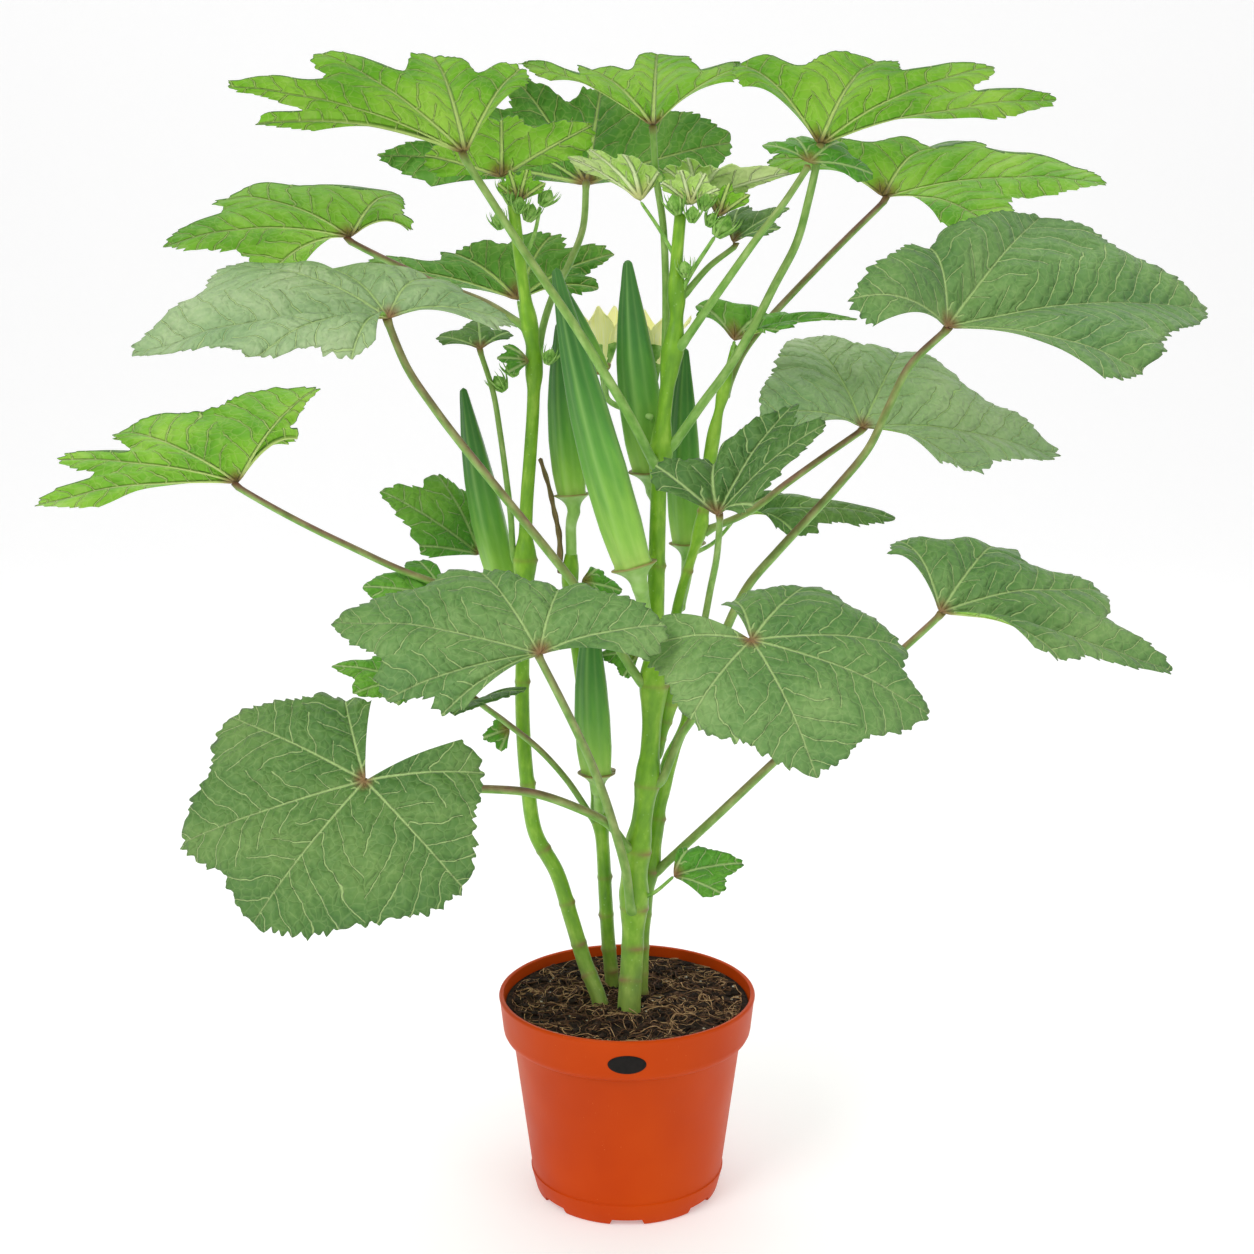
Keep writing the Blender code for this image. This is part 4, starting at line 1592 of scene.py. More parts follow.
@dataclass
class Pod:
    """One pod: a five-ridged body, a collar at its foot and the stalk that carries it."""

    node: str
    skeleton: Skeleton
    ridges: int = 5
    hollow: float = 0.15
    collar_mm: float = 1.3
    limb: Limb = field(init=False)
    calyx: int = field(init=False)

    def __post_init__(self) -> None:
        """Read the frame's pod, with its stalk first, and find the calyx ring."""
        limb = Limb.from_rings(self.node)
        jump = np.abs(np.diff(limb.radii[1:-1])).argmax()
        self.limb = limb.turned() if jump > len(limb.radii) / 2 else limb
        self.calyx = int(np.diff(self.limb.radii[1:-1]).argmax()) + 3

    def build_body(self, skin: Finish) -> None:
        """Build the ridged body from the calyx to the blunt tip.

        Args:
            skin: its finish.
        """
        centres = self.limb.centres[self.calyx:]
        body = Limb(centres, self.limb.radii[self.calyx:] / 0.95)
        length = body.length()
        line, radii = body.sampled(110)
        bend = np.linspace(0, 1, 110)
        _, side, _ = section_frames(line)
        line = line + side * (np.sin(bend * math.pi) * 0.012 * length)[:, None]
        thick = float(radii.max())

        def girth(angle: Point, share: Point) -> Point:
            """The five-ridged radius, smoothed and closed at both ends."""
            ridge = np.abs(np.cos(self.ridges / 2 * angle))
            shape = 1 - self.hollow + self.hollow * ridge ** 2.4
            shape = shape + 0.012 * np.abs(np.sin(self.ridges / 2 * angle)) ** 10
            smooth = np.interp(share[:, 0], bend, radii)
            smooth = np.maximum(smooth, thick * 0.13)
            end = np.sqrt(np.clip((1 - share) * length / (thick * 0.16), 0, 1))
            return smooth[:, None] * shape * end * np.where(share == 0, 0.0, 1.0)

        sheet, points, _ = add_tube(f"okra_{self.node}", line, girth, 60)
        angle = np.linspace(0, math.tau, 61)[None, :]
        share = bend[:, None]
        ridge = np.abs(np.cos(self.ridges / 2 * angle)) ** 26
        fine = np.abs(np.sin(self.ridges / 2 * angle)) ** 30 * 0.5
        line_mask = (ridge + fine) * (0.35 + 0.65 * np.sin(np.clip(share, 0, 1) * math.pi))
        write_attribute(sheet, "ridge", line_mask)
        ripe = np.clip(0.06 + share * 1.15, 0, 1) + 0 * angle
        write_attribute(sheet, "ripe", ripe)
        stretch_map(sheet, math.tau * thick, length)
        hand_over(sheet, skin, [self.node])

    def build_foot(self, collar: Finish) -> None:
        """Build the stalk and the collar as one turned form.

        Args:
            collar: their finish.
        """
        stalk = self.limb.centres[1:self.calyx - 1]
        radius = float(self.limb.radii[self.calyx]) / 0.95
        heading = unit(self.limb.centres[-1] - self.limb.centres[self.calyx])
        seat = self.limb.centres[self.calyx]
        rows = np.vstack([self.skeleton.root(stalk[0], 5.0), stalk])
        low = Limb(rows, np.concatenate([[self.limb.radii[1]], self.limb.radii[1:self.calyx - 1]]))
        line, radii = low.sampled(30)
        flare = np.linspace(0, 1, 16)
        neck = line[-1]
        lip = seat + heading * 0.3 * MM
        cup = neck + (lip - neck) * flare[:, None]
        cup_radii = radii[-1] + (radius * 1.02 - radii[-1]) * flare ** 2.6
        fold = np.array([seat + heading * 1.0 * MM, seat + heading * 0.5 * MM, seat + heading * 0.2 * MM])
        fold_radii = np.array([radius * 1.03, radius * 0.9, 0.0])
        centres = np.vstack([line[:-1], cup, fold])
        outline = np.concatenate([radii[:-1], cup_radii, fold_radii])
        outline[0] = 0.0
        worn = np.zeros(len(outline))
        worn[-4:] = (0.5, 0.9, 0.6, 0.3)

        def girth(angle: Point, share: Point) -> Point:
            """A radius that turns five-sided towards the collar."""
            sided = np.clip((outline / radius) - 0.4, 0, 1)[:, None]
            star = 1 + 0.05 * sided * np.cos(self.ridges * angle) + 0.02 * sided * np.sin(9 * angle)
            return outline[:, None] * star

        sheet, points, _ = add_tube(f"okra_{self.node}_collar", centres, girth, 40)
        write_attribute(sheet, "worn", np.broadcast_to(worn[:, None], points.shape[:2]).copy())
        hand_over(sheet, collar, [self.node])

    def build(self, skin: Finish, collar: Finish) -> None:
        """Build the pod's two pieces."""
        self.build_body(skin)
        self.build_foot(collar)


# ---- flowers and growing tips

@dataclass
class Flowers:
    """The half-open flowers: five wrapped petals in a green cup."""

    petals: int = 5

    def petal(self, name: str, foot: Point, heading: Point, turn: float, size: float,
              tissue: Finish) -> Thing:
        """Build one petal, cupped round the flower's middle line.

        Args:
            name: the piece's name.
            foot: the flower's foot.
            heading: the way that the flower points.
            turn: the petal's place round it.
            size: the flower's length.
            tissue: its finish.

        Returns:
            The closed, thin petal.
        """
        side = unit(np.cross(heading, (0.0, 1.0, 0.2)))
        other = np.cross(heading, side)
        across_share = np.linspace(-1, 1, 25)[None, :]
        up = np.linspace(0, 1, 21)[:, None]
        half = 0.95 * np.sin((0.12 + 0.82 * up) * math.pi)
        angle = turn + across_share * half * 0.8
        reach = size * (0.10 + 0.34 * up ** 0.7 + 0.10 * up ** 3)
        reach = reach + 0.010 * size * np.sin(across_share * 9 + turn * 3) * up
        rise = size * (up - 0.14 * across_share ** 2 * up ** 2)
        points = (foot + heading * rise[..., None]
                  + (side * np.cos(angle)[..., None] + other * np.sin(angle)[..., None])
                  * reach[..., None])
        sheet = add_sheet(name, 24, 20)
        lay_sheet(sheet, points)
        sheet.data.materials.append(tissue)
        close_up(sheet, outside=False)
        apply_modifier(sheet, "SOLIDIFY", thickness=0.35 * MM, offset=0.0)
        return sheet

    def build_one(self, name: str, foot: Point, heading: Point, size: float, tissue: Finish,
                  skin: Finish, nodes: Sequence[str] = ()) -> None:
        """Build one flower with its petals, cup and foot.

        Args:
            name: the pieces' name.
            foot: the flower's foot.
            heading: the way that it points.
            size: its length.
            tissue: the petals' finish.
            skin: the cup's finish.
            nodes: the CAD nodes that the first petal stands for.
        """
        for number in range(self.petals):
            turn = math.tau * number / self.petals + 0.4
            piece = self.petal(f"{name}_petal_{number + 1}", foot, heading, turn, size * 0.96, tissue)
            set_in_place(piece, nodes if number == 0 else ())
        line = foot + heading * np.linspace(-0.55, 0.42, 30)[:, None] * size
        outline = size * np.interp(np.linspace(0, 1, 30), (0, 0.06, 0.5, 0.72, 0.95, 1),
                                   (0, 0.05, 0.07, 0.2, 0.3, 0.0))

        def girth(angle: Point, share: Point) -> Point:
            """The cup's radius, with five pointed sepals."""
            cup = np.clip(share * 2 - 1, 0, 1)
            return outline[:, None] * (1 + 0.16 * cup * np.cos(5 * angle))

        sheet, _, _ = add_tube(f"{name}_cup", line, girth, 30)
        hand_over(sheet, skin)

    def build(self) -> None:
        """Build the flower, and a second one half hidden behind the main stem."""
        tissue = PetalTissue().build()
        skin = BudSkin().build()
        low, high = map(np.array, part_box("flower_bud"))
        middle = (low + high) / 2
        tall = high[2] - low[2]
        foot = np.array([middle[0], middle[1], low[2] + tall * 0.30])
        lean = unit(np.array([-0.1, 0.05, 1.0]))
        self.build_one("okra_flower_left", foot, lean, tall * 0.72, tissue, skin, ["flower_bud"])
        stem, _ = Limb.from_node("stem_main").at_height(foot[2] + 2 * MM)
        foot = beside(stem, -6.0, 34.0, 0.0)
        self.build_one("okra_flower_right", foot, unit(np.array([0.12, 0.0, 1.0])), tall * 0.62,
                       tissue, skin)


@dataclass
class GrowingTips:
    """Hairy buds and pale young leaves at the tops of the main and the left stem."""

    skeleton: Skeleton
    # A blade is held if a stalk ends this near; a thin stalk starts this far below its blade
    held_mm: float = 12.0
    rise_mm: float = 16.0
    sag: float = 0.08

    def bud(self, name: str, foot: Point, heading: Point, size: float, skin: Finish,
            nodes: Sequence[str]) -> None:
        """Build one bud: a pointed body wrapped in narrow hairy bracts.

        Args:
            name: the piece's name.
            foot: where it grows.
            heading: the way that it points.
            size: its length.
            skin: its finish.
            nodes: the CAD nodes that it stands for.
        """
        line = foot + heading * np.linspace(0, 1, 26)[:, None] * size
        outline = size * np.interp(np.linspace(0, 1, 26), (0, 0.04, 0.25, 0.4, 0.6, 0.85, 1),
                                   (0, 0.14, 0.17, 0.36, 0.40, 0.2, 0.0))

        def girth(angle: Point, share: Point) -> Point:
            """The bud's radius, grooved between its bracts."""
            deep = np.clip(share * 2.4 - 0.5, 0, 1)
            return outline[:, None] * (1 - 0.2 * deep * np.abs(np.sin(4 * angle)))

        sheet, _, _ = add_tube(name, line, girth, 32)
        hand_over(sheet, skin, nodes)

    def bracts(self, name: str, foot: Point, heading: Point, size: float, skin: Finish) -> None:
        """Build the ring of narrow bracts round a bud as one piece of separate blades.

        Args:
            name: the piece's name.
            foot: where the bud grows.
            heading: the way that it points.
            size: the bud's length.
            skin: its finish.
        """
        side = unit(np.cross(heading, (0.1, 1.0, 0.3)))
        other = np.cross(heading, side)
        strands = []
        for k in range(9):
            turn = math.tau * k / 9 + 0.2 * math.sin(k * 5.0)
            out = side * math.cos(turn) + other * math.sin(turn)
            strand = []
            for t in (i / 5 for i in range(6)):
                reach = size * (0.14 + 0.42 * math.sin(t * 1.9)) * (1 + 0.15 * math.sin(k * 3.0))
                spot = foot + heading * size * (0.08 + 1.05 * t) + out * reach
                strand.append((spot, size * 0.075 * (1 - t) + 0.06 * MM))
            strands.append(strand)
        set_in_place(add_strands(name, strands, 1, skin))

    def cluster(self, name: str, foot: Point, buds: Sequence[tuple[float, float, float, float]],
                skin: Finish, nodes: Sequence[str] = ()) -> None:
        """Build a group of buds.

        Args:
            name: the pieces' name.
            foot: the place that the buds' offsets count from.
            buds: for each, its offset in millimetres and its length in millimetres.
            skin: their finish.
            nodes: the CAD nodes that the first one stands for.
        """
        for number, (x, y, z, size) in enumerate(buds):
            spot = beside(foot, x, y, z)
            heading = unit(np.array([x * 0.05, y * 0.05, 1.0]))
            self.bud(f"{name}_bud_{number + 1}", spot, heading, size * MM, skin,
                     nodes if number == 0 else ())
            self.bracts(f"{name}_bracts_{number + 1}", spot, heading, size * MM, skin)

    def twig(self, name: str, points: Sequence[Sequence[float]], radius_mm: float,
             skin: Finish) -> None:
        """Build a thin stalk through some points.

        Args:
            name: the piece's name.
            points: the points, in metres.
            radius_mm: its radius at the foot.
            skin: its finish.
        """
        line = spline(np.array(points, float), np.linspace(0, len(points) - 1, 30))

        def girth(angle: Point, share: Point) -> Point:
            """An even taper with rounded ends."""
            return radius_mm * MM * (1 - 0.35 * share) * rounded_ends(share, 0.02, 1 * MM)

        sheet, _, _ = add_tube(name, line, girth, 12)
        hand_over(sheet, skin)

    def young_leaf(self, name: str, heart: Point, tips_mm: Sequence[Sequence[float]], seed: int,
                   upper: Finish, under: Finish) -> None:
        """Build a small leaf.

        Args:
            name: the piece's name.
            heart: where its stalk meets it.
            tips_mm: its lobes' tips, in millimetres from its heart.
            seed: for its teeth and waves.
            upper: the finish of its upper side.
            under: the finish of its under side.
        """
        net = BladeNet.from_tips(heart, heart + np.array(tips_mm, float) * MM)
        set_in_place(Blade(name, net, seed, EdgeCut.YOUNG).build(upper, under))

    def build(self) -> None:
        """Build the buds and the young leaves."""
        skin = BudSkin().build()
        young = LeafUpper(LeafTone.YOUNG, vein="dfeab8", heart="a9b86a").build()
        # Bright upper side, with painted top light
        top_lit_upper = LeafUpper(LeafTone.FRESH, heart="8c6a34").build()
        under = LeafUnder(UnderTone.LIT).build()
        pale = LeafUnder(UnderTone.YOUNG, heart="b9b86a").build()
        low, high = map(np.array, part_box("growing_tip"))
        top = np.array([(low[0] + high[0]) / 2, (low[1] + high[1]) / 2, low[2]])
        self.cluster("okra_tip", top, ((-1, 0, 2, 11), (6, -4, -1, 10), (-6, -5, -3, 11),
                                       (13, -2, -14, 13), (4, 4, 4, 9), (1, -6, -7, 9),
                                       (9, -3, -9, 8), (-2, -5, -34, 9)), skin, ["growing_tip"])
        hub = beside(top, -25, 2, 4)
        leaf = self.young_leaf
        leaf("okra_young_leaf_left", hub, ((-36, 10, 22), (-25, -6, 25), (-8, -8, 22), (9, 0, 14)), 91,
             young, pale)
        self.twig("okra_young_leaf_stalk", (beside(top, -3, 1, -32), beside(top, -14, 1, -12), hub), 1.2,
                  skin)
        leaf("okra_young_leaf_right", beside(top, 4, 2, 3),
             ((-17, 6, 18), (-5, -5, 22), (10, -8, 17), (46, 0, 15), (20, 8, 3)), 92, young, pale)
        leaf("okra_young_leaf_front", beside(top, 0, -5, 2),
             ((-14, -3, 11), (-5, -9, 17), (7, -8, 15), (14, -4, 8)), 93, young, pale)
        leaf("okra_young_leaf_inner", beside(top, 14, -3, -4), ((-5, -2, 14), (5, -6, 16), (15, -2, 11)),
             100, top_lit_upper, under)
        foot, _ = Limb.from_node("stem_main").at_height(low[2] - 0.048)
        self.hidden_stalks(skin)
        self.twig("okra_bud_stalk", (foot, beside(foot, 6, -2, 14), beside(top, 13, -2, -13)), 1.5, skin)
        left = Limb.from_node("stem_left")
        crown = left.centres[left.centres[:, 2].argmax()]
        self.cluster("okra_left_tip", crown, ((0, 0, -3, 11), (7, 1, -10, 10), (-6, -2, -14, 9),
                                              (14, 2, -2, 10), (3, -4, -6, 9), (-3, 3, 2, 9)), skin)
        leaf("okra_left_tip_leaf", beside(crown, 3, -3, 0),
             ((-10, -2, 9), (-4, -5, 15), (5, -5, 16), (13, -2, 9)), 101, top_lit_upper, under)
        self.twig("okra_left_bud_stalk", (beside(crown, 2, 2, -34), beside(crown, 10, 3, -18),
                                          beside(crown, 14, 2, -2)), 1.3, skin)
        lower, _ = left.at_height(crown[2] - 0.086)
        self.cluster("okra_left_joint", lower, ((-9, -4, -2, 9), (-15, 4, -10, 10), (7, -3, 4, 9)),
                     skin)
        self.young_leaf("okra_left_small_leaf", beside(lower, -2, -5, 6),
                        ((-12, -3, 8), (-16, -8, 2), (-10, -10, -5)), 94, top_lit_upper, under)
        held = Limb.from_node("stalk_crown_right")
        ends = held.centres[[0, -1]]
        self.young_leaf("okra_crown_leaf", ends[ends[:, 2].argmax()] + np.array([0, 1, 1]) * MM,
                        ((-22, 4, 9), (-6, 14, 13), (16, 12, 11), (32, 2, -5)), 90, top_lit_upper, under)
        self.lower_leaves(top_lit_upper, under)

    def hidden_stalks(self, skin: Finish) -> None:
        """Hold up each CAD blade that no CAD stalk reaches, with a thin stalk from the nearest stem.

        Args:
            skin: the stalks' finish.
        """
        ends = np.array([end for node in STALK_NODES for end in Limb.from_node(node).centres[[0, -1]]])
        stems = np.vstack(list(self.skeleton.stems.values()))
        for node in LEAF_NODES:
            heart = BladeNet.from_node(node).heart
            if np.linalg.norm(ends - heart, axis=1).min() < self.held_mm * MM:
                continue
            lower = stems[stems[:, 2] < heart[2] - self.rise_mm * MM]
            root = lower[np.linalg.norm(lower - heart, axis=1).argmin()]
            bow = (root + heart) / 2 + np.array([0.0, 0.0, -self.sag]) * np.linalg.norm(heart - root)
            self.twig(f"okra_stalk_of_{node}", (root, bow, heart), 1.3, skin)

    def lower_leaves(self, top_lit_upper: Finish, under: Finish) -> None:
        """Build the small leaves that fill in among the stems behind the front leaves.

        Args:
            top_lit_upper: the finish of their upper sides.
            under: the finish of their under sides.
        """
        rows = (("inner_leaf_left", "left", 0.29, (-58, -24, 0),
                 ((-14, 6, 12), (-38, -4, 10), (-26, -16, -2), (-4, -14, -8))),
                ("inner_leaf_high", "left", 0.335, (-40, -10, -4),
                 ((-16, 14, 18), (-42, -8, 8), (-36, -16, -14), (-10, -14, -8))),
                ("inner_leaf_middle", "main", 0.3, (-8, 12, 0), ((-10, 6, 8), (-20, 2, -2), (-8, -6, -12))),
                ("inner_leaf_back", "middle", 0.33, (6, 6, 4), ((8, 6, 6), (22, 4, -6), (8, -4, -12))),
                ("joint_leaf", "left", 0.262, (-7, -4, -2), ((-6, 2, 6), (-14, -2, -4), (-5, -6, -10))))
        for seed, (name, stem, height, offset, tips) in enumerate(rows, start=95):
            spot, _ = Limb.from_node(f"stem_{stem}").at_height(height)
            self.young_leaf(f"okra_{name}", beside(spot, *offset), tips, seed, top_lit_upper, under)


# ---- soil

@dataclass
class SoilBed:
    """The soil: a lumpy surface with crumbs, flakes and a mat of curly roots."""

    lump_mm: float = 2.8
    roots: int = 330
    crumbs: int = 650
    specks: int = 80
    seed: int = 11

    def __post_init__(self) -> None:
        """Read the soil's radius and levels from its CAD node."""
        low, high = map(np.array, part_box("soil"))
        self.radius = float(high[0] - low[0]) / 2
        self.top = float(high[2])
        self.edge = self.top - 2.0 * MM
        self.floor = float(low[2])
        shape = merged_copy("soil")
        outline: dict[float, float] = {}
        for vert in shape.verts:
            z = round(vert.co.z, 5)
            outline[z] = max(outline.get(z, 0.0), math.hypot(vert.co.x, vert.co.y))
        shape.free()
        self.wall = sorted((z, r) for z, r in outline.items()
                           if r > self.radius * 0.7 and z <= self.edge + 0.1 * MM)

    def level(self, x: Point, y: Point) -> Point:
        """Work out the lumpy surface's height.

        Args:
            x: the places across.
            y: the places front to back.

        Returns:
            The height at each.
        """
        r = np.hypot(x, y) / self.radius
        base = self.edge + (self.top - self.edge) * np.clip(1 - r ** 2, 0, 1)
        flat = np.stack([np.ravel(x), np.ravel(y), np.zeros(np.size(x))], axis=1)
        lumps = waves(flat, 0.013, 1) * 0.9 + waves(flat, 0.005, 2) * 0.6
        shape = np.reshape(lumps, np.shape(x)) * self.lump_mm * MM
        return base + shape * np.clip((1 - r) * 6, 0.25, 1) - 0.6 * MM

    def build_bed(self, soil: Finish) -> None:
        """Build the body of the soil, turned to the pot's inside and lumpy on top.

        Args:
            soil: its finish.
        """
        rows_side, rows_top, columns = 24, 60, 150
        heights = np.linspace(self.floor, self.edge, rows_side)
        side = np.interp(heights, [z for z, _ in self.wall], [r for _, r in self.wall])
        radii = np.concatenate([[0.0], side, np.linspace(self.radius - 0.2 * MM, 0.0, rows_top)])
        angle = np.linspace(0, math.tau, columns + 1)
        x = radii[:, None] * np.cos(angle)[None, :]
        y = radii[:, None] * np.sin(angle)[None, :]
        z = np.empty_like(x)
        z[:rows_side + 1] = np.concatenate([[self.floor], heights])[:, None]
        z[rows_side + 1:] = self.level(x[rows_side + 1:], y[rows_side + 1:])
        points = np.stack([x, y, z], axis=2)
        points[:, -1] = points[:, 0]
        points[-1] = points[-1].mean(axis=0)
        sheet = add_sheet("okra_soil_bed", columns, len(radii) - 1)
        lay_sheet(sheet, points)
        hand_over(sheet, soil, ["soil"])

    def root_line(self, rng: random.Random) -> list[tuple[float, float, float]]:
        """Wind one curly root over the surface.

        Args:
            rng: for its place and its curls.

        Returns:
            Its points.
        """
        reach = self.radius * 0.93 * math.sqrt(rng.random())
        start = rng.uniform(0, math.tau)
        x, y = reach * math.cos(start), reach * math.sin(start)
        heading = rng.uniform(0, math.tau)
        bend = rng.choice((-1, 1)) * rng.uniform(0.05, 0.55)
        step = rng.uniform(1.2, 2.6) * MM
        hump = rng.uniform(0.2, 2.4) * MM
        count = rng.randint(9, 20)
        line = []
        for i in range(count):
            lift = hump * math.sin(math.pi * i / (count - 1))
            line.append((x, y, lift))
            heading += bend + rng.uniform(-0.35, 0.35)
            x += step * math.cos(heading)
            y += step * math.sin(heading)
            far = math.hypot(x, y)
            if far > self.radius * 0.95:
                x, y = x * self.radius * 0.95 / far, y * self.radius * 0.95 / far
                heading += 1.2
        xs = np.array([p[0] for p in line])
        ys = np.array([p[1] for p in line])
        zs = self.level(xs, ys) + np.array([p[2] for p in line]) + 0.1 * MM
        return list(zip(xs, ys, zs))

    def build_roots(self, name: str, count: int, thick: tuple[float, float], seed: int,
                    fibre: Finish) -> None:
        """Build one mat of roots.

        Args:
            name: the piece's name.
            count: how many roots.
            thick: the thinnest and the thickest root's radius in millimetres.
            seed: for the roots' places.
            fibre: their finish.
        """
        rng = random.Random(seed)
        strands = []
        for _ in range(count):
            line = self.root_line(rng)
            radius = rng.uniform(*thick) * MM
            strands.append([(spot, radius * (1 - 0.6 * abs(2 * i / (len(line) - 1) - 1) ** 3))
                            for i, spot in enumerate(line)])
        set_in_place(add_strands(name, strands, 0, fibre))

    def scatter(self, name: str, count: int, sizes: tuple[float, float], flat: float, seed: int,
                finish: Finish) -> None:
        """Scatter small lumps over the surface as one piece.

        Args:
            name: the piece's name.
            count: how many lumps.
            sizes: the smallest and the greatest radius in millimetres.
            flat: how tall a lump is for its width.
            seed: for the lumps' places and shapes.
            finish: their finish.
        """
        rng = random.Random(seed)
        bpy.ops.object.select_all(action="DESELECT")
        bpy.ops.mesh.primitive_ico_sphere_add(subdivisions=1, radius=1.0)
        piece = bpy.context.object
        piece.name = name
        base = np.empty(len(piece.data.vertices) * 3, np.float32)
        piece.data.vertices.foreach_get("co", base)
        base = base.reshape(-1, 3)
        faces = [tuple(p.vertices) for p in piece.data.polygons]
        spots = [(self.radius * 0.94 * math.sqrt(rng.random()), rng.uniform(0, math.tau))
                 for _ in range(count)]
        xs = np.array([r * math.cos(a) for r, a in spots])
        ys = np.array([r * math.sin(a) for r, a in spots])
        zs = self.level(xs, ys)
        all_points, all_faces = [], []
        for k in range(count):
            size = sizes[0] + (sizes[1] - sizes[0]) * rng.random() ** 2
            wobble = np.array([[rng.uniform(0.7, 1.3) for _ in range(3)] for _ in base])
            scale = np.array([size, size * rng.uniform(0.4, 1.0), size * flat]) * MM
            turn = rng.uniform(0, math.tau)
            lump = base * wobble * scale
            x = lump[:, 0] * math.cos(turn) - lump[:, 1] * math.sin(turn)
            y = lump[:, 0] * math.sin(turn) + lump[:, 1] * math.cos(turn)
            lump = np.stack([x, y, lump[:, 2]], axis=1) + (xs[k], ys[k], zs[k] + size * flat * 0.3 * MM)
            all_faces += [tuple(v + len(all_points) for v in f) for f in faces]
            all_points += [tuple(p) for p in lump]
        mesh = bpy.data.meshes.new(name)
        mesh.from_pydata(all_points, [], all_faces)
        piece.data = mesh
        mesh.materials.append(finish)
        set_in_place(piece)

    def build(self) -> None:
        """Build the bed, the roots, the crumbs and the flakes."""
        soil = PottingSoil().build()
        brown = RootFibre("brown_root_fibre", "33231a", "6e4c32").build()
        straw = RootFibre("straw_root_fibre", "8a643e", "d8b184").build()
        pale = RootFibre("pale_flake", "b9b19a", "e4dfcf").build()
        self.build_bed(soil)
        self.build_roots("okra_roots_brown", self.roots, (0.18, 0.42), self.seed, brown)
        self.build_roots("okra_roots_straw", self.roots * 3 // 4, (0.11, 0.27), self.seed + 1, straw)
        self.scatter("okra_soil_crumbs", self.crumbs, (0.8, 3.0), 0.7, self.seed + 2, soil)
        self.scatter("okra_bark_chips", 2 * self.specks, (0.8, 2.6), 0.3, self.seed + 3, brown)
        self.scatter("okra_pale_flakes", 2 * self.specks, (0.35, 1.2), 0.4, self.seed + 4, pale)


# ---- pot

